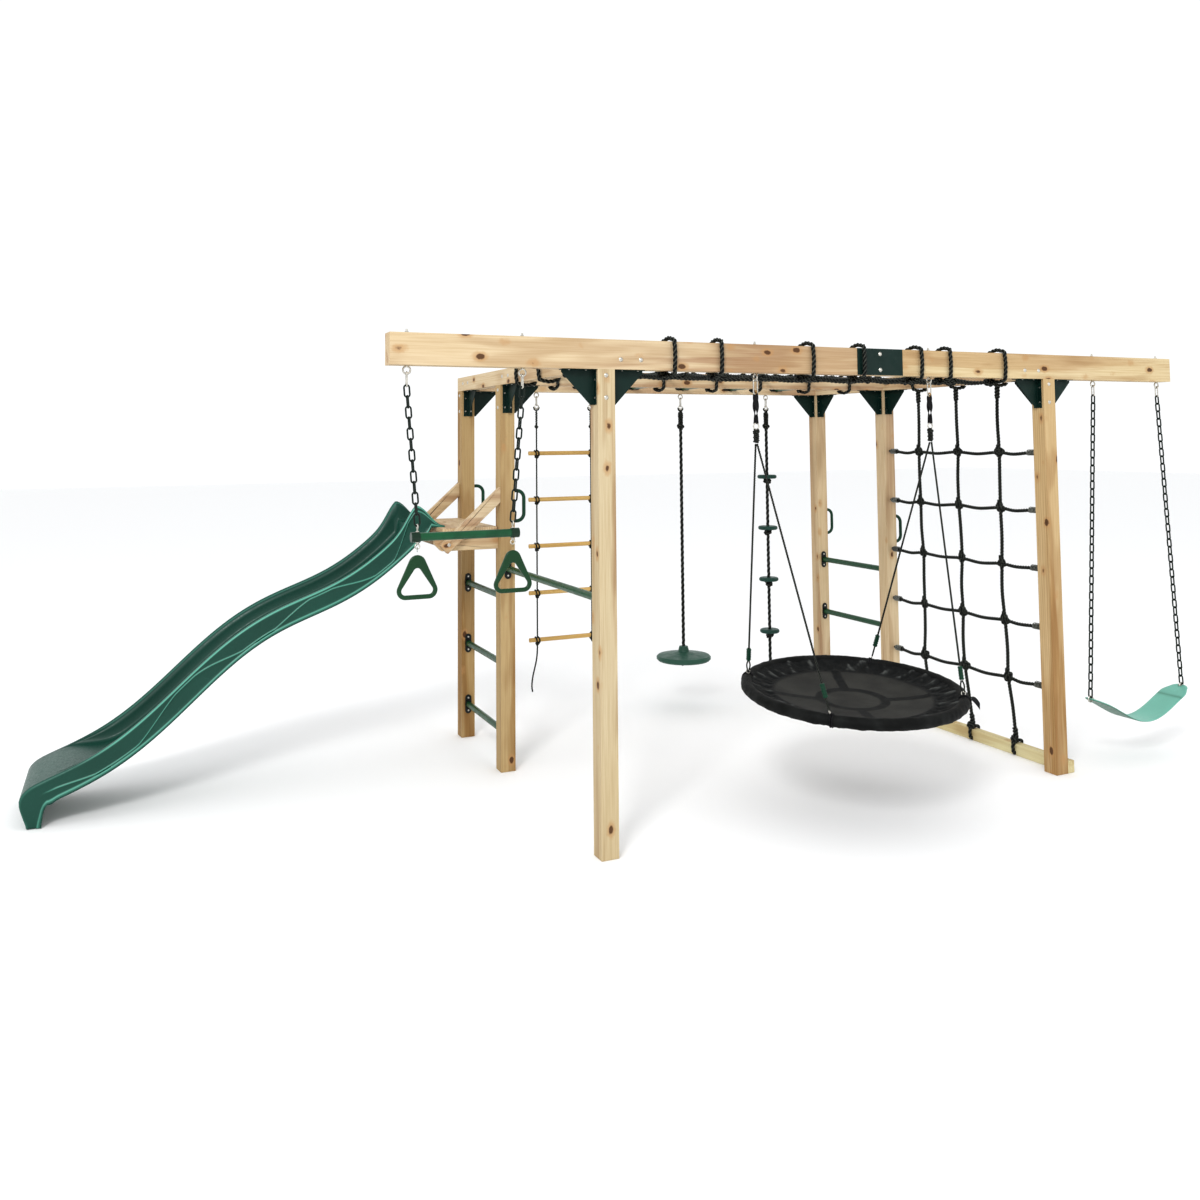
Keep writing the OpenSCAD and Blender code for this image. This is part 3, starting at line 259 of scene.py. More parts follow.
def rope(name, base=(0.003, 0.004, 0.004), lift=(0.110, 0.118, 0.098)):
    """Black twisted rope with a painted highlight, the colour `lift`, on the crests of its strands."""
    s = Shader(name, roughness=0.38, Specular_IOR_Level=0.14)
    yarn = s.noise(s.coords, 420.0, 3, 0.65)
    # Painted highlight: the strand crests turn, in specks, towards the paler colour lift
    crest_highlight = s.ramp(s.attribute("crest_highlight"), 0.55, 1.0)
    colour = s.mix(s.math("MULTIPLY", s.ramp(yarn, 0.35, 0.65), crest_highlight), base, lift)
    return s.finish(colour, yarn, 0.55, 0.0012, s.ramp(yarn, 0.3, 0.7, (0.34, 0.6)))


def cloth(name, base, weave=650.0, seam=None):
    """Woven polyester: a fine crossed weave and cloudy wear, darker along the attribute named by `seam`."""
    s = Shader(name, roughness=0.62, Specular_IOR_Level=0.16)
    cloud = s.noise(s.coords, 14.0, 4)
    colour = s.mix(s.ramp(cloud, 0.35, 0.75), base, toned(base, 2.1, 0.004))
    threads = s.waves(weave * pi, 3)
    crossed = s.math("MULTIPLY", threads[0], threads[1])
    woven = s.math("ADD", crossed, s.math("MULTIPLY", threads[2], 0.5))
    bump = s.math("ADD", s.math("MULTIPLY", woven, 0.35), cloud)
    if seam:
        colour = s.mix(s.attribute(seam), colour, toned(base, 0.45))
    return s.finish(colour, bump, 0.5, 0.0008)


def lined_plastic(name, base, light, line, roughness=0.40):
    """Moulded plastic that turns to the colour `light` along the mesh attribute named by `line`: painted
    highlight and wear for the slide, painted shade for the belt.
    """
    s = Shader(name, roughness=roughness, Specular_IOR_Level=0.3)
    colour = s.mix(s.patches(3.5, 4, (0, 0.55)), base, toned(base, 0.70))
    fine = s.noise(s.coords, 120.0, 3)
    colour = s.mix(s.ramp(fine, 0.55, 0.8, (0, 0.22)), colour, toned(base, 1.5, 0.01))
    colour = s.mix(s.attribute(line), colour, light)
    return s.finish(colour, s.noise(s.coords, 750.0, 2), 0.10, 0.0004, s.ramp(fine, 0.3, 0.7, (0.30, 0.44)))


def mat_mesh(name):
    """Perforated mesh cloth, solid along the attribute `band`, with a painted highlight on its fold crests
    along `crest`.
    """
    s = Shader(name, roughness=0.66, Specular_IOR_Level=0.14)
    punched = s.waves(620.0 * pi, 2)
    holes = s.ramp(s.math("MULTIPLY", punched[0], punched[1]), -0.2, 0.6)
    open_cloth = s.mix(s.patches(7.0, 4), (0.050, 0.050, 0.045), (0.030, 0.030, 0.028))
    open_cloth = s.mix(s.math("MULTIPLY", holes, 0.45), open_cloth, (0.009, 0.009, 0.009))
    solid = s.mix(s.ramp(s.noise(s.coords, 30.0, 4), 0.35, 0.7), (0.007, 0.008, 0.008), (0.014, 0.015, 0.015))
    # Painted highlight on the crests of the border's folds
    solid = s.mix(s.attribute("crest"), solid, (0.095, 0.100, 0.096))
    colour = s.mix(s.attribute("band"), open_cloth, solid)
    return s.finish(colour, s.math("ADD", holes, s.noise(s.coords, 25.0, 3)), 0.45, 0.0008)


def trapeze_paint():
    """Green tube whose two end caps are darker."""
    s = Shader("trapeze_green", roughness=0.3, Coat_Weight=0.15, Coat_Roughness=0.2, Specular_IOR_Level=0.3)
    split = s.add("ShaderNodeSeparateXYZ", {0: s.coords})
    away = s.math("ABSOLUTE", s.math("SUBTRACT", split.outputs[0], TRAPEZE_X), 0.0)
    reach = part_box("trapeze_bar")[1].x - TRAPEZE_X
    cap = s.ramp(away, reach - 0.0325, reach - 0.0315)
    green = s.mix(s.patches(20.0, 3), (0.004, 0.080, 0.030), (0.003, 0.055, 0.020))
    colour = s.mix(cap, green, (0.002, 0.022, 0.010))
    return s.finish(colour, s.noise(s.coords, 900.0, 2), 0.2, 0.0004)


ZINC = zinc()
ROPE = rope("black_rope")
GREEN_STEEL = painted("bracket_green", (0.0010, 0.0175, 0.0130), 0.48)
GREEN_BAR = painted("bar_green", (0.0035, 0.058, 0.020), 0.32, coat=0.2)
BLACK_PLATE = painted("plate_black", (0.006, 0.009, 0.008), 0.4)
GRIP = painted("grip_green", (0.003, 0.045, 0.022), 0.42)
CHAIN = painted("chain_coat", (0.003, 0.010, 0.006), 0.48)
RING = painted("ring_green", (0.002, 0.043, 0.011), 0.30, coat=0.2)
HOOP = painted("hoop_steel", (0.05, 0.05, 0.05), 0.5)
WEBBING = cloth("black_webbing", (0.006, 0.006, 0.007), 900.0)
SLEEVE = cloth("sleeve_cloth", (0.0035, 0.0040, 0.0038), 700.0, "seam")
MAT = mat_mesh("mat_cloth")
# Slide: the line colour is paler, painted highlight and wear along its edges and raised lines
SLIDE = lined_plastic("slide_plastic", (0.009, 0.062, 0.044), (0.13, 0.42, 0.32), "line")
# Belt: the line colour is darker, painted shade along its underside, and also on two bands across the seat
BELT = lined_plastic("belt_plastic", (0.18, 0.46, 0.37), (0.05, 0.16, 0.11), "line", 0.46)
DISC = painted("disc_green", (0.030, 0.095, 0.066), 0.42)
STEP = painted("step_green", (0.013, 0.056, 0.042), 0.45)
DOWEL = wood("dowel", "x", 9, (0.66, 0.45, 0.175), (0.52, 0.32, 0.11), 0.6, False)
TWINE = cloth("grey_twine", (0.16, 0.165, 0.15), 1500.0)
BRASS = painted("brass_ring", (0.34, 0.20, 0.07), 0.35)


def dress(material, *names):
    """Gives carried-over CAD nodes their material."""
    for name in names:
        mesh = NODES[name].data
        mesh.materials.clear()
        mesh.materials.append(material)


def weld(name):
    """Joins the doubled corners of a carried-over CAD node."""
    NODES[name].modifiers.new("weld", "WELD").merge_threshold = 0.00001


def soften(width, segments, *names):
    """Rounds the sharp edges of carried-over CAD nodes."""
    for name in names:
        weld(name)
        bevel = NODES[name].modifiers.new("bevel", "BEVEL")
        bevel.width = width
        bevel.segments = segments
        bevel.limit_method = "ANGLE"
        bevel.angle_limit = radians(40)
        bevel.harden_normals = False
        NODES[name].modifiers.new("normals", "WEIGHTED_NORMAL")


TIMBERS = {
    "post_front_left": "z", "post_front_right": "z", "post_mid_left": "z", "post_mid_right": "z",
    "post_back_left": "z", "post_back_right": "z", "front_beam_left": "x", "front_beam_right": "x",
    "side_beam_left": "y", "side_beam_right": "y", "mid_beam": "x", "back_beam": "x",
    "ground_rail": "y", "deck_joists": "x", "deck_boards": "y", "deck_struts": "x",
}
TONES = {
    "post_front_left": ((0.54, 0.45, 0.295), (0.34, 0.215, 0.125)),
    "ground_rail": ((0.66, 0.60, 0.37), (0.50, 0.40, 0.22)),
    "post_front_right": ((0.55, 0.41, 0.23), (0.35, 0.20, 0.075)),
    "post_back_left": ((0.42, 0.30, 0.15), (0.28, 0.16, 0.055)),
    "post_mid_left": ((0.46, 0.34, 0.18), (0.30, 0.18, 0.07)),
    "front_beam_right": ((0.65, 0.54, 0.345), (0.48, 0.33, 0.18)),
}
for number, (timber, axis) in enumerate(TIMBERS.items()):
    sap, heart = TONES.get(timber, ((0.60, 0.485, 0.325), (0.40, 0.265, 0.165)))
    dress(wood("wood_" + timber, axis, number + 1, sap, heart), timber)
dress(GREEN_STEEL, "gussets", "splice_plates")
dress(ZINC, "wood_screws", "carriage_bolts", "eye_bolts", "net_hooks", "trapeze_links", "trapeze_eyes",
      "nest_carabiners", "belt_links", "belt_rings", "rope_ladder_links", "disc_link", "climb_link")
dress(GREEN_BAR, "monkey_bars", "ladder_rungs", "turning_bar")
dress(BLACK_PLATE, "bar_flanges")
dress(GRIP, "hand_grips", "nest_adjusters")
dress(CHAIN, "trapeze_chains", "belt_chains")
dress(trapeze_paint(), "trapeze_bar")
dress(RING, "trapeze_ring_left", "trapeze_ring_right")
dress(HOOP, "nest_hoop")
dress(DISC, "disc_seat")
dress(STEP, "climb_discs")
dress(DOWEL, "rope_ladder_rungs")
soften(0.002, 2, *TIMBERS)


# Mesh helpers -------------------------------------------------------


def make(name, body, material, bm, replaces=()):
    """Turns a bmesh into a piece that rides on a body."""
    bmesh.ops.recalc_face_normals(bm, faces=bm.faces)
    mesh = bpy.data.meshes.new(name)
    bm.to_mesh(mesh)
    bm.free()
    mesh.shade_smooth()
    mesh.materials.append(material)
    obj = bpy.data.objects.new(name, mesh)
    show(obj)
    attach(obj, body)
    if replaces:
        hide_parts(*replaces)
    return obj


def line_length(points):
    return sum((b - a).length for a, b in zip(points, points[1:]))


def even(points, step):
    """Evenly spaced points on a smooth curve through the given ones."""
    p = [Vector(q) for q in points]
    p = [2 * p[0] - p[1], *p, 2 * p[-1] - p[-2]]
    dense = []
    for a, b, c, d in zip(p, p[1:], p[2:], p[3:]):
        count = max(2, ceil(2 * (c - b).length / step))
        for k in range(count):
            t = k / count
            dense.append(
                0.5 * (2 * b + (c - a) * t + (2 * a - 5 * b + 4 * c - d) * t * t
                       + (3 * b - a - 3 * c + d) * t ** 3)
            )
    dense.append(p[-2])
    count = max(2, ceil(line_length(dense) / step))
    gap = line_length(dense) / count
    out, run, due = [dense[0]], 0.0, gap
    for a, b in zip(dense, dense[1:]):
        piece = (b - a).length
        while run + piece >= due - 1e-9 and len(out) < count:
            out.append(a.lerp(b, (due - run) / piece))
            due += gap
        run += piece
    out.append(dense[-1])
    return out


STRANDS = [1.08, 0.94, 0.66, 0.94] * 3
ROUND = [1.0] * 12


def bridge(bm, rings):
    """Faces between each two neighbouring rings of points."""
    for a, b in zip(rings, rings[1:]):
        for j in range(len(a)):
            k = (j + 1) % len(a)
            bm.faces.new((a[j], a[k], b[k], b[j]))


def tube(bm, rings):
    """Closed skin through rings of points, capped at both ends."""
    bridge(bm, rings)
    bm.faces.new(reversed(rings[0]))
    bm.faces.new(rings[-1])


def sweep(bm, path, radius, profile=ROUND, lay=0.0):
    """Sweeps a ring of relative radii along a path, turning it once for every `lay` metres."""
    # Share of the way out to each strand's crest, which the rope material paints paler as a highlight
    crest_highlight = bm.verts.layers.float.get("crest_highlight") or bm.verts.layers.float.new("crest_highlight")
    normal = (path[1] - path[0]).orthogonal().normalized()
    low, high = min(profile), max(profile)
    rings, run, last = [], 0.0, len(path) - 1
    for i, p in enumerate(path):
        tangent = (path[min(i + 1, last)] - path[max(i - 1, 0)]).normalized()
        normal = (normal - normal.dot(tangent) * tangent).normalized()
        side = tangent.cross(normal)
        if i:
            run += (p - path[i - 1]).length
        r = radius(run) if callable(radius) else radius
        turn = TAU * run / lay if lay else 0.0
        ring = []
        for j, share in enumerate(profile):
            a = TAU * j / len(profile) + turn
            v = bm.verts.new(p + (normal * cos(a) + side * sin(a)) * r * share)
            v[crest_highlight] = (share - low) / (high - low) if high > low else 0.0
            ring.append(v)
        rings.append(ring)
    tube(bm, rings)


def strand(bm, points, r, step=None):
    """Three-strand rope along points."""
    sweep(bm, even(points, step or r / 2), r, STRANDS, 7.5 * r)


def knot(bm, at, r, turn=(0, 0, 0), size=1.0):
    """Three-lobed knot of rope round a point."""
    spin = Euler(turn).to_matrix()
    path = []
    for k in range(61):
        t = TAU * k / 60
        wide = (1.35 + 0.66 * cos(3 * t)) * r * size
        path.append(Vector(at) + spin @ Vector((wide * cos(2 * t), wide * sin(2 * t),
                                                0.85 * r * size * sin(3 * t))))
    sweep(bm, path, 1.0 * r, STRANDS, 6 * r)


def circle(centre, radius, axis_a, axis_b, count=32, start=0.0, arc=TAU):
    """Points on an arc from axis_a towards axis_b."""
    a, b = Vector(axis_a), Vector(axis_b)
    turns = [start + arc * k / count for k in range(count + 1)]
    return [Vector(centre) + radius * (a * cos(turn) + b * sin(turn)) for turn in turns]


def wrap(centre, across, width, height, reach, drift, bulges=(0.003, 0.008, 0.004, 0.006)):
    """Slack loop round a timber, from below it, bulging at its side, top, far side and below."""
    across, up = Vector(across), Vector((0, 0, 1))
    along = across.cross(up)
    corners = [(1, -1), (1, 1), (-1, 1), (-1, -1)]
    path = []
    for n in range(5):
        sx, sz = corners[n % 4]
        for k in range(4):
            a = radians(270 + 90 * n + 30 * k)
            place = across * (sx * width / 2 + reach * cos(a))
            place += up * (sz * height / 2 + reach * sin(a))
            path.append(Vector(centre) + place + along * drift * (n + k / 3) / 5)
        if n < 4:
            tx, tz = corners[(n + 1) % 4]
            a = radians(360 + 90 * n)
            out = reach + bulges[n]
            half_x, half_z = (sx + tx) * width / 4, (sz + tz) * height / 4
            place = across * (half_x + out * cos(a)) + up * (half_z + out * sin(a))
            path.append(Vector(centre) + place + along * drift * (n + 1.15) / 5)
    return path


# Hanging ropes, which are free cords --------------------------------

RING_R, RING_WIRE = 0.013, 0.003
THIMBLE_R, THIMBLE_WIRE = 0.0105, 0.0042
EYE_R, EYE_DROP = 0.0165, 0.004
WHIP_TURNS, WHIP_STEPS, WHIP_DROP, WHIP_LENGTH = 8, 160, 0.012, 0.082
NECK_DROP = 0.100


def winding(x, y, turns, steps, out, height):
    """Points wound round an upright line, with `out` and `height` for each share of the way."""
    points = []
    for k in range(steps + 1):
        a, t = TAU * turns * k / steps, k / steps
        points.append(Vector((x + out(t) * cos(a), y + out(t) * sin(a), height(t))))
    return points


def hanging_rope(name, body, node, points, r, knots):
    """A free rope with its ring, whipping and knots."""
    path = even(points, 0.010)
    bm = bmesh.new()
    sweep(bm, even(points, r / 2.2), r * 0.98, STRANDS, 10 * r)
    obj = make(name, body, ROPE, bm, [node])
    x, y = path[0].x, path[0].y
    bm = bmesh.new()
    centre, level, up = (x, y, ROPE_RING_Z), (1, 0, 0), (0, 0, 1)
    sweep(bm, circle(centre, RING_R, level, up), RING_WIRE)
    sweep(bm, circle(centre, THIMBLE_R, level, up, 24, pi * 0.95, pi * 1.1), THIMBLE_WIRE)
    make(name + "_ring", body, ZINC, bm)
    bm = bmesh.new()
    centre = (x, y, ROPE_RING_Z - EYE_DROP)
    eye = circle(centre, EYE_R, level, up, 24, pi * 0.92, pi * 1.16)
    strand(bm, eye, min(r, 0.0055) * 0.85)

    def whip_out(t):
        return r * (1.12 + 0.16 * sin(pi * min(1, 2.2 * t)))

    def whip_height(t):
        return ROPE_TOP - WHIP_DROP - WHIP_LENGTH * t

    wind = winding(x, y, WHIP_TURNS, WHIP_STEPS, whip_out, whip_height)
    sweep(bm, even(wind, 0.003), r * 0.42 + 0.0006, STRANDS, 0.020)
    knot(bm, (x, y, ROPE_TOP - NECK_DROP), r * 0.75 + 0.0008, (0.5, 0.9, 1.3), 1.0)
    for z, size in knots:
        knot(bm, (x, y, z), r, (0.35, 0.2, z * 9), size)
        knot(bm, (x, y, z + 0.7 * r), r, (1.25, 0.4, z * 5), size * 0.86)
    tied = make(name + "_knots", body, ROPE, bm)


def straight_drop(x, low, count=16):
    """Points straight down from the top of a rope."""
    return [(x, Y_BACK, ROPE_TOP + (low - ROPE_TOP) * i / count) for i in range(count + 1)]


x = LADDER_X - LADDER_GAP / 2
left_points = straight_drop(x, 0.500, 12) + [(x + dx, Y_BACK, z) for dx, z in TAIL]
hitches = [(z - RUNG_R - 0.010, 1.0) for z in RUNG_Z]
hanging_rope("rope_ladder_left_rope", "rope_ladder", "rope_ladder_rope_left", left_points, LADDER_ROPE_R,
             hitches)
x = LADDER_X + LADDER_GAP / 2
right_points = straight_drop(x, RUNG_Z[0] - RUNG_R - 0.026)
hanging_rope("rope_ladder_right_rope", "rope_ladder", "rope_ladder_rope_right", right_points, LADDER_ROPE_R,
             hitches)

# Hitches of rope over the rungs, beside each rope
HITCH_R, HITCH_APART, HITCH_LEAN, HITCH_LAY = 0.0042, 0.0085, 0.003, 0.028
bm = bmesh.new()
for side in (-1, 1):
    for z in RUNG_Z:
        at = Vector((LADDER_X + side * LADDER_GAP / 2, Y_BACK, z))
        for shift in (-HITCH_APART, HITCH_APART):
            path = circle(at + Vector((shift, 0, 0)), RUNG_R + HITCH_R, (0, 1, 0), (0, 0, 1), 28)
            for i, p in enumerate(path):
                p.x += HITCH_LEAN * sin(TAU * i / 28) * side
            sweep(bm, path, HITCH_R, STRANDS, HITCH_LAY)
make("rope_ladder_hitches", "rope_ladder", ROPE, bm)

END_DROP = 0.048  # from the disc or the lowest step down to the end of its rope
points = straight_drop(DISC_X, DISC_Z - END_DROP)
hanging_rope("disc_swing_rope", "disc_swing", "disc_rope", points, ROPE_R, [(DISC_Z - 0.034, 0.95)])
points = straight_drop(CLIMB_X, STEP_Z[0] - END_DROP)
hanging_rope("climbing_rope_line", "climbing_rope", "climb_rope", points, ROPE_R,
             [(z - STEP_H / 2 - 0.014, 0.95) for z in STEP_Z])


# Nets ---------------------------------------------------------------


def roof_z(y):
    return NET_FRONT_Z + (NET_MID_Z - NET_FRONT_Z) * (y - Y_FRONT) / (Y_MID - Y_FRONT)


def column_place(i, y):
    """Where roof column i crosses the line at y."""
    y0, y1 = Y_FRONT + HALF, Y_MID - HALF
    t = (y - y0) / (y1 - y0)
    return X_LEFT + TIE_AT[i] + t * (COLUMN_X[i] - X_LEFT - TIE_AT[i])


def wobble(size):
    return (rng.random() - 0.5) * 2 * size


def onward(route, at, slack):
    """Carries a route on to a point, with a slack bend halfway."""
    route += [Vector(route[-1]).lerp(at, 0.5) + Vector(slack), at]


def loose_end(bm, start, bend, tip, r):
    """Short free end of a knotted rope."""
    strand(bm, [start, start + Vector(bend), start + Vector(tip)], r)


def spliced(bm, route):
    """Net rope along a route, thicker where each end is spliced back into itself."""
    smooth = even(route, NET_R / 2)
    total = line_length(smooth)

    def thickness(run):
        return NET_R * (1.5 if min(run, total - run) < SPLICE else 1.0)

    sweep(bm, smooth, thickness, STRANDS, SPLICE_LAY)


columns, knots = bmesh.new(), bmesh.new()
crossing = {}
for i in range(7):
    route = [(X_LEFT + TIE_AT[i], Y_FRONT + HALF + 0.010, roof_z(Y_FRONT + HALF))]
    for j, y in enumerate(ROW_Y):
        at = Vector((column_place(i, y) + wobble(0.006), y + wobble(0.006), roof_z(y)))
        crossing[i, j] = at
        before = Vector(route[-1])
        half_way = before.lerp(at, 0.5) + Vector((wobble(0.006), 0, -0.004))
        route += [half_way, at + Vector((0, 0, 0.006))]
        knot(knots, at, NET_R, (wobble(0.5), wobble(0.5), wobble(3)), 1.0)
    end = Vector((COLUMN_X[i], Y_MID - HALF - 0.010, roof_z(Y_MID - HALF)))
    onward(route, end, (wobble(0.006), 0, -0.004))
    strand(columns, route, NET_R)
make("roof_net_column_ropes", "frame", ROPE, columns, ["roof_net_columns"])
make("roof_net_knots", "frame", ROPE, knots)

rows = bmesh.new()
for j, y in enumerate(ROW_Y):
    route = [Vector((X_LEFT + HALF + TIE_GAP + NET_R, y, roof_z(y)))]
    for i in range(7):
        at = crossing[i, j] - Vector((0, 0, 0.006))
        onward(route, at, (0, wobble(0.010), -0.008))
    end = Vector((X_RIGHT - HALF - TIE_GAP - NET_R, y, roof_z(y)))
    onward(route, end, (0, wobble(0.010), -0.008))
    strand(rows, route, NET_R)
make("roof_net_row_ropes", "frame", ROPE, rows, ["roof_net_rows"])

# Side net: columns down to the ground rail, rows with spliced ends, and bulky knots
columns, rows, knots, twine = (bmesh.new() for n in range(4))
sways = [[wobble(0.010) for z in ROW_Z] for y in ROW_Y]
for j, y in enumerate(ROW_Y):
    route = [Vector((X_RIGHT, y, HEADROOM - 0.020))]
    for k in reversed(range(5)):
        at = Vector((X_RIGHT + 0.004, y + sways[j][k], ROW_Z[k]))
        onward(route, at, (0, wobble(0.009), 0))
        knot(knots, at, NET_R, (wobble(0.5), 1.4 + wobble(0.3), wobble(1.5)), 1.12)
        knot(knots, at + Vector((0, 0.004, 0.007)), NET_R, (1.2 + wobble(0.4), 0.2, 0.4), 0.82)
        stub = at + Vector((0.004, 0.010, 0.010))
        loose_end(knots, stub, (0.002, 0.006, 0.016), (0.004, 0.010, 0.028), NET_R * 0.92)
    foot = Vector((RAIL_X - 0.006, y, RAIL_H + 2 * NET_R))
    onward(route, foot, (0.004, wobble(0.012), 0))
    spliced(columns, route)
make("side_net_column_ropes", "frame", ROPE, columns, ["side_net_columns"])
make("side_net_knots", "frame", ROPE, knots)
for k, z in enumerate(ROW_Z):
    first = Vector((X_RIGHT, Y_FRONT + HALF + ROW_IN, z))
    last = Vector((X_RIGHT, Y_MID - HALF - ROW_IN, z))
    route = [first, first + Vector((0, SPLICE, -0.002))]
    for j, y in enumerate(ROW_Y):
        at = Vector((X_RIGHT - 0.004, y + sways[j][k], z))
        onward(route, at, (0, 0, -0.006 - 0.006 * rng.random()))
    near = last - Vector((0, SPLICE, 0.002))
    onward(route, near, (0, 0, -0.008))
    route.append(last)
    for end, inward in ((first, 1), (last, -1)):
        for n in range(6):
            at = end + Vector((0, inward * (0.010 + 0.0085 * n), 0))
            sweep(twine, circle(at, NET_R * 1.52, (1, 0, 0.25), (0, 0.22, 1), 20), 0.0013)
    spliced(rows, route)
make("side_net_row_ropes", "frame", ROPE, rows, ["side_net_rows"])
make("side_net_whippings", "frame", TWINE, twine)

# Ties round the timbers, each with a knot, and with a loose end along the front beam
ties = bmesh.new()
reach = NET_R + TIE_GAP
for i, at in enumerate(TIE_AT):
    x = X_LEFT + at
    plates = 0.006 if abs(x - PLATES_X) < 0.127 else 0.0
    centre = (x, Y_FRONT, HEADROOM + FRONT_H / 2)
    lean = (-1 if i % 2 else 1) * 0.017
    route = wrap(centre, (0, 1, 0), 2 * HALF + plates, FRONT_H, reach, lean)
    strand(ties, route, NET_R)
    below = Vector((x, Y_FRONT + HALF + 0.012, HEADROOM - 0.016))
    knot(ties, below, NET_R, (0.6, wobble(0.5), i), 1.0)
    loose_end(ties, below, (-0.016, -0.020, -0.012), (-0.030, -0.045, -0.006), NET_R * 0.9)
    centre = (COLUMN_X[i], Y_MID, HEADROOM + HALF)
    route = wrap(centre, (0, 1, 0), 2 * HALF, 2 * HALF, reach, -lean)
    strand(ties, route, NET_R)
    before = Vector((COLUMN_X[i], Y_MID - HALF - 0.012, HEADROOM + 2 * HALF - 0.012))
    knot(ties, before, NET_R, (1.1, wobble(0.5), i), 1.0)
for side, x in ((1, X_LEFT), (-1, X_RIGHT)):
    for j, y in enumerate(ROW_Y):
        route = wrap((x, y, HEADROOM + HALF), (1, 0, 0), 2 * HALF, 2 * HALF, reach, 0.018)
        strand(ties, route, NET_R)
        inner = Vector((x + side * (HALF + 0.013), y, roof_z(y)))
        knot(ties, inner, NET_R, (0.3, 1.2, j), 1.0)
for j, y in enumerate(ROW_Y):
    notch = 2 * NET_R + 2 * TIE_GAP
    route = wrap((RAIL_X, y, notch / 2 + RAIL_H / 2), (1, 0, 0), 0.042, RAIL_H - notch, reach - 0.0005, 0.004,
                 (0.002, 0.005, 0.002, 0.0))
    strand(ties, route, NET_R * 0.98)
    knot(ties, (RAIL_X - 0.018, y, RAIL_H + 0.017), NET_R, (0.4, 1.0, j), 0.9)
make("net_ties", "frame", ROPE, ties, ["net_loops"])


# Slide --------------------------------------------------------------

# Wave, section and ends of the slide, near those of part.scad: its crest, skin and toe differ a little
DECK_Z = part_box("deck_boards")[1].z
SLIDE_W = 0.472
WALL_W, WALL_HALF, BED_DROP, SKIN = 0.040, 0.050, 0.030, 0.006
SLIDE_IN, CREST_AT, TOE_AT = 0.284, 0.430, 2.030
CREST_H, CREST_REACH = 0.062, 0.062
START_RISE, SLOPE = 0.267, 0.6515
WAVE_H, WAVE_AT, WAVE_LENGTH = 0.0467, 1.480, 1.077
FACE_IN = 0.004
SLIDE_Y = (Y_MID + Y_BACK) / 2


def spine_z(u):
    """Height of the middle of a side wall, at distance u from the posts."""
    return DECK_Z + START_RISE - SLOPE * u - WAVE_H * sin(TAU * (u - WAVE_AT) / WAVE_LENGTH)


def upright(u, t):
    """Height that a thickness t takes up where the slide leans."""
    steepness = SLOPE + WAVE_H * TAU / WAVE_LENGTH * cos(TAU * (u - WAVE_AT) / WAVE_LENGTH)
    return t * hypot(1, steepness)


def wall_top(u):
    crest = CREST_H * exp(-(((u - CREST_AT) / CREST_REACH) ** 2))
    return spine_z(u) + upright(u, WALL_HALF) + crest


def wall_foot(u):
    return spine_z(u) - upright(u, WALL_HALF)


def bed(u):
    return min(DECK_Z + 0.006, spine_z(u) - upright(u, BED_DROP))


def ease(t):
    t = min(1, max(0, t))
    return (1 - cos(pi * t)) / 2


def between(keys, u):
    """Smooth value at u through (u, value) keys."""
    for (a, va), (b, vb) in zip(keys, keys[1:]):
        if u <= b:
            return va + (vb - va) * ease((u - a) / (b - a))
    return keys[-1][1]


# Height of the raised line on the outer faces, as a share of the face
LINE_KEYS = [
    (0.30, 0.98), (0.45, 0.92), (0.56, 0.16), (0.89, 0.86), (1.165, 0.14), (1.49, 0.86), (1.73, 0.14),
    (2.05, 0.52), (2.3, 0.55),
]

stations = []  # (top, bed, foot) as points (u, z)
head = wall_top(CREST_AT)
lip = DECK_Z + 0.006
for n in range(9):
    u = SLIDE_IN + (CREST_AT - 0.010 - SLIDE_IN) * n / 8
    top = lip + (head - lip) * ease((u - SLIDE_IN) / (CREST_AT - SLIDE_IN)) + 0.002
    stations.append(((u, top), (u, lip), (max(u, SLIDE_IN), DECK_Z if u < 0.368 else wall_foot(u))))
count = 120
for n in range(count + 1):
    u = CREST_AT + (TOE_AT - CREST_AT) * n / count
    rise = ease((u - 1.72) / 0.30)
    top, low = wall_top(u), bed(u)
    foot = (u, wall_foot(u)) if u < 1.98 else (u - 0.014 * ease((u - 1.98) / 0.05), wall_foot(u))
    stations.append(((u, top), (u, low + (top - low) * rise), foot))
# Rounded toe, as its top and foot (distance from the posts, height)
TOE = [
    ((2.046, 0.1945), (2.024, 0.093)), ((2.062, 0.188), (2.031, 0.086)), ((2.078, 0.181), (2.036, 0.077)),
    ((2.094, 0.1725), (2.039, 0.067)), ((2.109, 0.162), (2.041, 0.057)), ((2.122, 0.149), (2.042, 0.047)),
    ((2.131, 0.134), (2.043, 0.038)), ((2.135, 0.117), (2.044, 0.030)), ((2.134, 0.098), (2.045, 0.023)),
    ((2.129, 0.078), (2.046, 0.017)), ((2.122, 0.056), (2.046, 0.011)), ((2.114, 0.034), (2.046, 0.006)),
    ((2.108, 0.016), (2.046, 0.003)), ((2.106, 0.004), (2.045, 0.001)),
]
for top, foot in TOE:
    stations.append((top, top, foot))


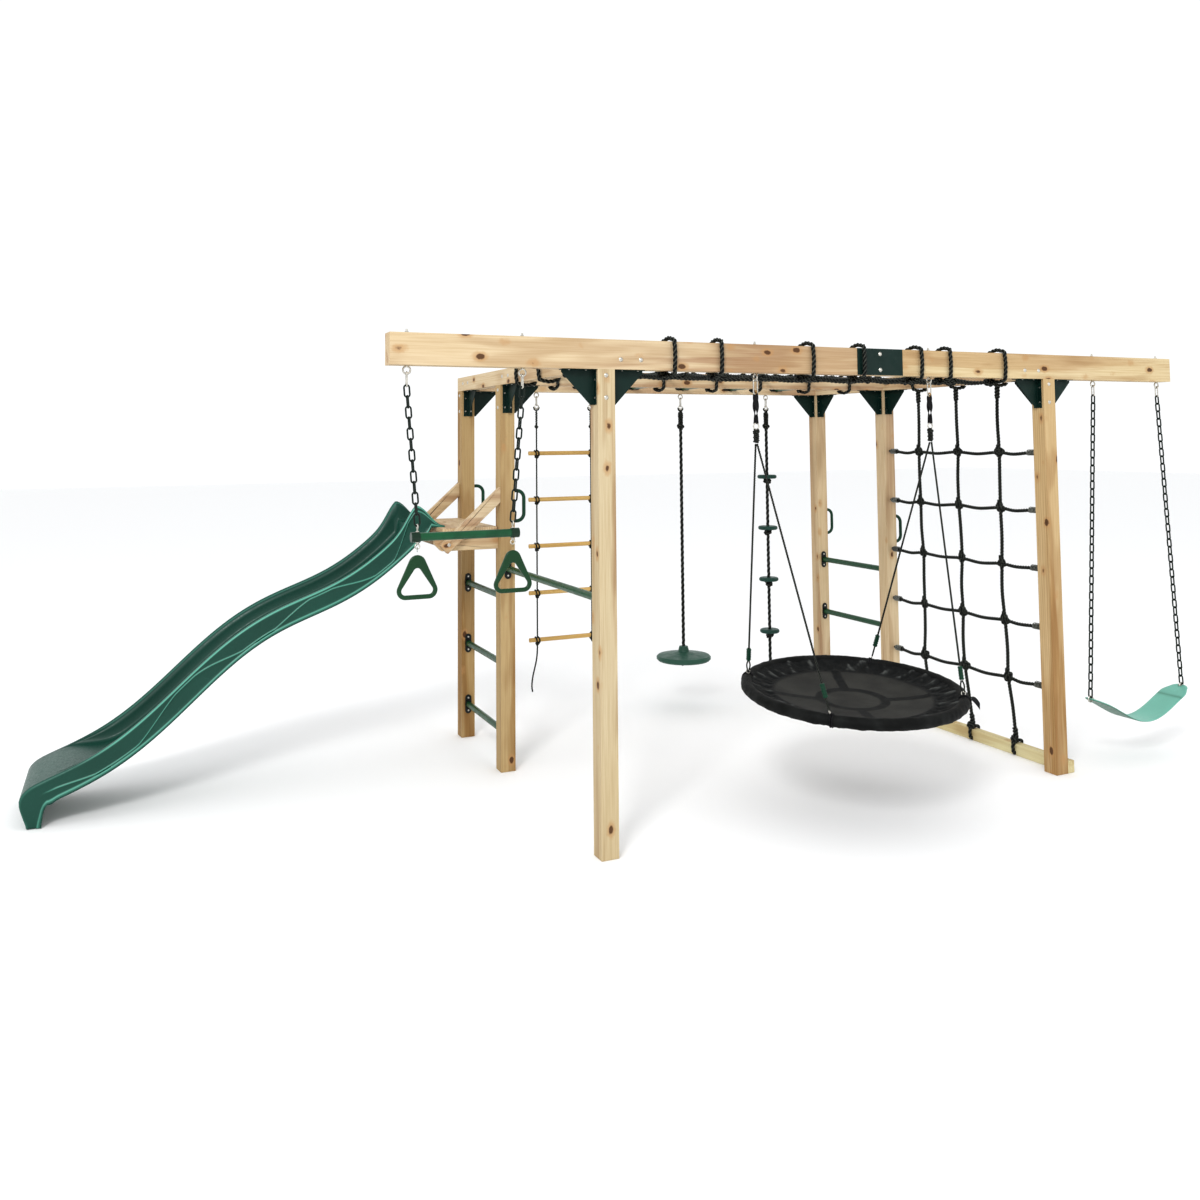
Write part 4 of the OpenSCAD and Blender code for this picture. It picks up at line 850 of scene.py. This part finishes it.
def half_section(top, low, foot):
    """(y, point, line) from the middle of the bed outwards, over the side wall and back under the bed."""
    outer = SLIDE_W / 2
    inner, face = outer - WALL_W, outer - FACE_IN
    tall, depth = max((top - foot).length, 0.02), max(0.0, (top - low).length)
    # Painted highlight along the top edges, fading out towards the toe
    edge_highlight_fade = 1 - 0.85 * ease((top.x - 1.72) / 0.22)
    rim = 1 - 0.35 * ease((top.x - 2.04) / 0.05)
    wave = 1 - ease((top.x - 1.98) / 0.09)
    bottom_share, top_share = min(0.3, 0.016 / tall), 1 - min(0.3, 0.012 / tall)
    wave_at = min(max(between(LINE_KEYS, top.x), bottom_share + 0.10), top_share - 0.08)
    line_half = 0.0026 / tall
    side = []

    def put(y, point, line=0.0):
        side.append((y, point, line))

    for share in (0.0, 0.35, 0.7, 0.93):
        put(share * (inner - 0.02), low)
    put(inner - 0.008, low.lerp(top, min(1, 0.003 / max(depth, 0.003))))
    put(inner - 0.001, low.lerp(top, 0.18))
    put(inner + 0.002, low.lerp(top, 0.6))
    edge = min(1.0, depth / 0.03)
    put(inner + 0.005, top.lerp(low, 0.12 * edge))
    # Top edges, with their painted highlight
    put(inner + 0.010, top.lerp(foot, 0.010 / tall * edge), 0.25 * edge * edge_highlight_fade)
    put(inner + 0.017, top.lerp(foot, 0.003 / tall * edge), 0.05 * edge_highlight_fade)
    put(outer - 0.020, top)
    put(outer - 0.011, top.lerp(foot, 0.001 / tall), 0.15 * edge_highlight_fade)
    put(face - 0.002, top.lerp(foot, 0.004 / tall), 0.95 * edge_highlight_fade)
    put(face, top.lerp(foot, 0.009 / tall), 0.55 * edge_highlight_fade)
    put(face, top.lerp(foot, 0.013 / tall))
    # Outer face, with its raised line, drawn paler as partly wear and partly painted highlight
    for k in range(1, 5):
        share = top_share - (top_share - wave_at - 2.2 * line_half) * k / 4
        put(face - 0.001, foot.lerp(top, share))
    for shift, rise, shade in ((line_half, 0.0015, 0.3), (0, 0.0035, 0.8), (-line_half, 0.0015, 0.3)):
        put(face - 0.001 + rise * wave, foot.lerp(top, wave_at + shift), shade * wave)
    low_share = bottom_share + 0.006 / tall
    for k in range(4):
        share = wave_at - 2.2 * line_half + (low_share - wave_at + 2.2 * line_half) * k / 3
        put(face - 0.001, foot.lerp(top, share))
    # Rim at the foot, drawn paler as partly wear and partly painted highlight, then the hollow inside of the
    # wall
    put(outer - 0.0005, foot.lerp(top, bottom_share), 0.75 * rim)
    put(outer, foot.lerp(top, bottom_share * 0.72), 0.3 * rim)
    put(outer, foot.lerp(top, bottom_share * 0.3))
    put(outer, foot)
    put(outer - SKIN, foot)
    put(outer - SKIN - 0.001, top.lerp(foot, 0.018 / tall))
    put(inner + SKIN, top.lerp(foot, 0.018 / tall))
    under = low.lerp(foot, min(1.0, SKIN / tall * 1.4))
    put(inner + SKIN, under)
    put(0.5 * outer, under)
    return side


bm = bmesh.new()
line_layer = bm.verts.layers.float.new("line")
rings = []
for station in stations:
    side = half_section(*(Vector(point) for point in station))
    mirror = [(-y, p, line) for y, p, line in reversed(side) if y > 0]
    verts = []
    for y, p, line in side + mirror:
        v = bm.verts.new((X_LEFT - p.x, SLIDE_Y + y, p.y))
        v[line_layer] = line
        verts.append(v)
    rings.append(verts)
bridge(bm, rings)
bm.faces.new(rings[0])
bm.faces.new(reversed(rings[-1]))
bmesh.ops.remove_doubles(bm, verts=bm.verts, dist=0.00002)
make("slide_shell", "frame", SLIDE, bm, ["slide"])


# Nest swing ---------------------------------------------------------

HOOP_R, SLEEVE_R = 0.465, 0.024
HOOP_TILT = radians(4)
HOOP_AT = middle("nest_hoop")
TILT = Matrix.Translation(HOOP_AT) @ Matrix.Rotation(HOOP_TILT, 4, "X")
TIE_X = 0.345
TIE_Y = sqrt(HOOP_R ** 2 - TIE_X ** 2)
tie_angles = [atan2(f * TIE_Y, s * TIE_X) for s in (-1, 1) for f in (-1, 1)]


def gather(a):
    """How near an angle is to one of the four ties, from 0 to 1."""
    return max(exp(-((remainder(a - t, TAU) / 0.09) ** 2)) for t in tie_angles)


def fold(a, b):
    """Small irregular folds of the sleeve round the hoop."""
    creases = (
        (1.0, 11.5 * a + 2.2 * sin(3 * a) + 0.8 * b),
        (0.8, 19 * a - 1.1 * b + 2.5 * sin(2 * a + 1)),
        (0.6, 33.5 * a + 1.9 * b + 2 * sin(5 * a)),
    )
    return sum(size * (0.5 - abs(sin(phase)) ** 0.7) for size, phase in creases) / 1.1


bm = bmesh.new()
seam_layer = bm.verts.layers.float.new("seam")
rings = []
around, section = 480, 28
for i in range(around):
    a = TAU * i / around
    pull = gather(a)
    ring = []
    for j in range(section):
        b = TAU * j / section
        swell = 0.115 * fold(a, 1.5 * cos(b)) * (0.55 + 0.45 * cos(b + 0.6))
        r = SLEEVE_R * (1.07 + swell) - 0.0025 * pull * (0.5 + 0.5 * sin(140 * a))
        seam = max(exp(-(((b - c) / 0.10) ** 2)) for c in (radians(215), radians(300)))
        r -= 0.0012 * seam
        outward = Vector((cos(a), sin(a), 0))
        place = outward * (HOOP_R + r * cos(b)) + Vector((0, 0, r * sin(b)))
        v = bm.verts.new(TILT @ place)
        v[seam_layer] = seam * 0.8
        ring.append(v)
    rings.append(ring)
for i in range(around):
    a, b = rings[i], rings[(i + 1) % around]
    for j in range(section):
        k = (j + 1) % section
        bm.faces.new((a[j], b[j], b[k], a[k]))
sleeve = make("nest_padded_sleeve", "nest_swing", SLEEVE, bm, ["nest_sleeve"])

# Mat: mesh panels with a ring in the middle, four radial bands and a gathered border
MAT_R = HOOP_R - SLEEVE_R * 0.45
MAT_SAG = 0.048
BORDER_R, EDGE_R, MAT_RING_R, SPOKE_TURN = 0.345, 0.338, 0.140, 0.42
bm = bmesh.new()
band_layer, fold_highlight_layer = bm.verts.layers.float.new("band"), bm.verts.layers.float.new("crest")
radial, around = 72, 288
rings = []
for i in range(1, radial + 1):
    r = MAT_R * i / radial
    ring = []
    for j in range(around):
        a = TAU * j / around
        z = MAT_SAG * ((r / HOOP_R) ** 2 - 1) + 0.021 * (r / MAT_R) ** 7
        border = ease((r - BORDER_R) / 0.02)
        crease = border * fold(a, 14 * r)
        z += 0.0085 * crease * ease((MAT_R + 0.004 - r) / 0.03)
        z += 0.0012 * sin(7 * a + 30 * r) * (r / MAT_R)
        cross = min(abs(r * sin(a + SPOKE_TURN)), abs(r * cos(a + SPOKE_TURN)))
        spoke = ease((0.023 - cross) / 0.004) if r > 0.13 else 0.0
        ring_band = ease((0.022 - abs(r - MAT_RING_R)) / 0.004)
        edge_band = ease((r - EDGE_R) / 0.005)
        z += 0.0015 * max(spoke, ring_band) + 0.0020 * ease((0.014 - abs(r - 0.350)) / 0.005)
        v = bm.verts.new(TILT @ Vector((r * cos(a), r * sin(a), z)))
        v[band_layer] = max(spoke, ring_band, edge_band)
        # Painted highlight, strongest on the crests of the border's folds
        v[fold_highlight_layer] = 0.9 * ease(0.2 + 1.6 * crease) * border
        ring.append(v)
    rings.append(ring)
hub = bm.verts.new(TILT @ Vector((0, 0, -MAT_SAG)))
for j in range(around):
    k = (j + 1) % around
    bm.faces.new((hub, rings[0][j], rings[0][k]))
    for a, b in zip(rings, rings[1:]):
        bm.faces.new((a[j], b[j], b[k], a[k]))
mat = make("nest_mat_cloth", "nest_swing", MAT, bm, ["nest_mat"])

# Slings, bundles, ropes with their split lower ends, and the rings at the sleeve
HOOK_OUT = 0.4775
WEB_HALF, WEB_THICK, WEB_STEPS = 0.011, 0.0016, 24
BUNDLE_TURNS, BUNDLE_STEPS, BUNDLE_FOOT, BUNDLE_LENGTH = 5.5, 96, 0.004, 0.048
NEST_ROPE_R, SPLIT_ROPE_R = 0.0044, 0.0034
ADJUSTER_FOOT, ADJUSTER_TOP = 0.088, 0.148  # along the rope from its tie
FLAP_STEPS = 12


def bundle_out(t):
    return 0.0088 + 0.0012 * sin(17 * t)


def bundle_height(t):
    return BUNDLE_Z + BUNDLE_FOOT + BUNDLE_LENGTH * t


sling_low, sling_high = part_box("nest_slings")
BUNDLE_Z = sling_low.z
ropes, webbing, rings_bm, brass, ribs = (bmesh.new() for n in range(5))
for s in (-1, 1):
    hook_x = middle("nest_carabiners").x + s * HOOK_OUT
    top = Vector((hook_x, Y_FRONT, sling_high.z - 0.004))
    foot = Vector((hook_x, Y_FRONT, BUNDLE_Z + 0.084))
    # Webbing folded into a loop and twisted a little, as two flat bands
    for face in (-1, 1):
        band_rings = []
        for n in range(WEB_STEPS + 1):
            t = n / WEB_STEPS
            swell = sin(pi * min(1, t * 1.1)) * 0.0055 + 0.001
            turn = radians(90 + 220 * t)
            wide = Vector((cos(turn), sin(turn), 0))
            out = Vector((-sin(turn), cos(turn), 0)) * face * swell
            at = top.lerp(foot, t) + out
            band_rings.append([
                webbing.verts.new(at + wide * WEB_HALF * x + out.normalized() * WEB_THICK * y)
                for x, y in ((-1, -1), (0, -1.2), (1, -1), (1, 1), (0, 1.2), (-1, 1))
            ])
        tube(webbing, band_rings)
    sweep(brass, circle(top, 0.0078, (0, 1, 0), (0, 0, 1), 24), 0.0034)
    sweep(rings_bm, circle((hook_x, Y_FRONT, BUNDLE_Z + 0.0725), RING_R, (1, 0, 0), (0, 0, 1)), RING_WIRE)
    # Bundled knot: rope wound round the two ropes
    wind = winding(hook_x, Y_FRONT, BUNDLE_TURNS, BUNDLE_STEPS, bundle_out, bundle_height)
    sweep(ropes, even(wind, 0.0022), 0.0046, STRANDS, 0.028)
    knot(ropes, (hook_x, Y_FRONT, BUNDLE_Z + 0.052), 0.0046, (0.4, 0.3, s), 1.25)
    for f in (-1, 1):
        tie = TILT @ Vector((s * TIE_X, f * TIE_Y, 0))
        start = Vector((hook_x, Y_FRONT + f * 0.006, BUNDLE_Z - 0.003))
        down = (start - tie).normalized()
        adjuster_foot, adjuster_top = tie + down * ADJUSTER_FOOT, tie + down * ADJUSTER_TOP
        strand(ropes, [start, start.lerp(adjuster_top, 0.5), adjuster_top], NEST_ROPE_R)
        ribs_at = [adjuster_foot.lerp(adjuster_top, 0.12 + 0.19 * k) for k in range(5)]
        flat_a = down.orthogonal().normalized()
        for at in ribs_at:
            sweep(ribs, circle(at, 0.0088, flat_a, down.cross(flat_a), 20), 0.0026)
        spread = down.cross(Vector((f * TIE_Y, -s * TIE_X, 0)).normalized()).normalized()
        sit = tie + down * (SLEEVE_R + 0.013)
        for h in (-1, 1):
            belly = adjuster_foot.lerp(sit, 0.45) + spread * h * 0.0075
            strand(ropes, [adjuster_foot + spread * h * 0.002, belly, sit + spread * h * 0.003], SPLIT_ROPE_R)
        sweep(rings_bm, circle(sit - down * 0.004, 0.0085, spread, down, 24), 0.0022)
        tangent = (TILT.to_3x3() @ Vector((-f * TIE_Y, s * TIE_X, 0))).normalized()
        out = (tie - HOOP_AT).normalized()
        up = tangent.cross(out)
        up = up if up.z > 0 else -up
        if s > 0 > f:
            flap = []
            for n in range(FLAP_STEPS + 1):
                t = n / FLAP_STEPS
                at = tie + out * (SLEEVE_R + 0.004 + 0.034 * t) + Vector((0, 0, 0.016 - 0.030 * t * t))
                across = tangent * cos(1.2 * t) + up * sin(1.2 * t)
                skin = out.cross(across) * 0.0014
                wide = across * (0.020 - 0.006 * t)
                flap.append([webbing.verts.new(at + a * wide + b * skin)
                             for a, b in ((-1, -1), (1, -1), (1, 1), (-1, 1))])
            tube(webbing, flap)
        for h in (-1, 1):
            loop = circle(tie + tangent * h * 0.004, SLEEVE_R + 0.0018, out, up, 32)
            sweep(webbing, loop, 0.0032)
make("nest_hanging_ropes", "nest_swing", ROPE, ropes, ["nest_ropes"])
make("nest_webbing", "nest_swing", WEBBING, webbing, ["nest_slings"])
make("nest_adjuster_ribs", "nest_swing", GRIP, ribs)
make("nest_rings", "nest_swing", ZINC, rings_bm)
make("nest_brass_rings", "nest_swing", BRASS, brass)


# Belt swing seat ----------------------------------------------------

BELT_SPAN, BELT_W, BELT_T = 0.664, 0.140, 0.008
BELT_Z, BELT_SAG = 0.190, 0.130
EYELET_IN = 0.013
ROUNDED_END, BELT_SECTION = 0.02, 28
bm = bmesh.new()
line_layer = bm.verts.layers.float.new("line")
count = 96
rings = []
for n in range(count + 1):
    share = -cos(pi * n / count)
    x = share * BELT_SPAN / 2
    z = BELT_Z + BELT_SAG * (0.55 * ease(abs(share)) + 0.45 * share ** 2) + BELT_T / 2
    from_end = BELT_SPAN / 2 - abs(x)
    width = BELT_W * (0.60 + 0.40 * ease(from_end / 0.075))
    if from_end < ROUNDED_END:
        width -= 0.045 * (1 - sqrt(max(0.0, 1 - (1 - from_end / ROUNDED_END) ** 2)))
    ring = []
    for k in range(BELT_SECTION):
        a = TAU * k / BELT_SECTION
        y = copysign(abs(cos(a)) ** 0.35, cos(a)) * width / 2
        t = copysign(abs(sin(a)) ** 0.6, sin(a)) * BELT_T / 2
        rib = 0.0010 * exp(-(((abs(y) - width / 2 + 0.012) / 0.004) ** 2))
        v = bm.verts.new((BELT_X + x, Y_FRONT + y, z + t + (rib if t > 0 else -rib)))
        cross_band = exp(-(((abs(x) - 0.235) / 0.008) ** 2))
        # Painted shade: the whole underside takes the darker line colour
        under = 1.0 if sin(a) < -0.2 else 0.0
        v[line_layer] = max(0.6 * cross_band, under)
        ring.append(v)
    rings.append(ring)
tube(bm, rings)
make("belt_seat_strap", "belt_swing", BELT, bm, ["belt_seat"])
bm = bmesh.new()
for s in (-1, 1):
    x = BELT_X + s * (BELT_SPAN / 2 - EYELET_IN)
    z = BELT_Z + BELT_SAG * 0.985 + BELT_T / 2
    for rise in (-1, 1):
        sweep(bm, circle((x, Y_FRONT, z + rise * 0.0045), 0.0085, (1, 0, 0), (0, 1, 0), 24), 0.0019)
make("belt_eyelets", "belt_swing", ZINC, bm)

# Fuller links, slimmer rings and softened edges
GROWTH = {
    "trapeze_chains": 0.0009, "belt_chains": 0.0011,
    "trapeze_ring_left": -0.0025, "trapeze_ring_right": -0.0025,
}
for name, growth in GROWTH.items():
    weld(name)
    swell = NODES[name].modifiers.new("swell", "DISPLACE")
    swell.strength = growth
    swell.mid_level = 0
soften(0.0045, 3, "trapeze_ring_left", "trapeze_ring_right")
soften(0.003, 2, "rope_ladder_rungs", "climb_discs")
soften(0.0007, 2, "gussets", "splice_plates", "bar_flanges")


# Floor and light ----------------------------------------------------

bm = bmesh.new()
bmesh.ops.create_grid(bm, x_segments=4, y_segments=4, size=40)
mesh = bpy.data.meshes.new("floor")
bm.to_mesh(mesh)
bm.free()
floor = bpy.data.objects.new("floor", mesh)
show(floor)
floor_shader = Shader("floor", roughness=0.9, Specular_IOR_Level=0.1)
floor_shader.bsdf.inputs["Base Color"].default_value = (0.93, 0.93, 0.93, 1)
mesh.materials.append(floor_shader.material)
floor.location.z = -0.001

world = bpy.data.worlds.new("world")
bpy.context.scene.world = world
world.use_nodes = True
sky = world.node_tree.nodes["Background"].inputs
sky["Color"].default_value = (0.98, 0.99, 1.0, 1)
sky["Strength"].default_value = 0.88


def softbox(name, at, towards, size, power):
    light = bpy.data.lights.new(name, "AREA")
    light.size = size
    light.energy = power
    obj = bpy.data.objects.new(name, light)
    obj.location = at
    obj.rotation_mode = "QUATERNION"
    obj.rotation_quaternion = (Vector(towards) - Vector(at)).to_track_quat("-Z", "Y")
    show(obj)


softbox("key", (-6.0, -7.0, 7.0), (0, 0, 0.8), 2.5, 480)
softbox("fill", (5.0, -6.0, 4.0), (0, 0, 1.0), 5.0, 40)
bpy.context.scene.view_settings.view_transform = "Standard"
bpy.context.scene.view_settings.look = "Medium High Contrast"
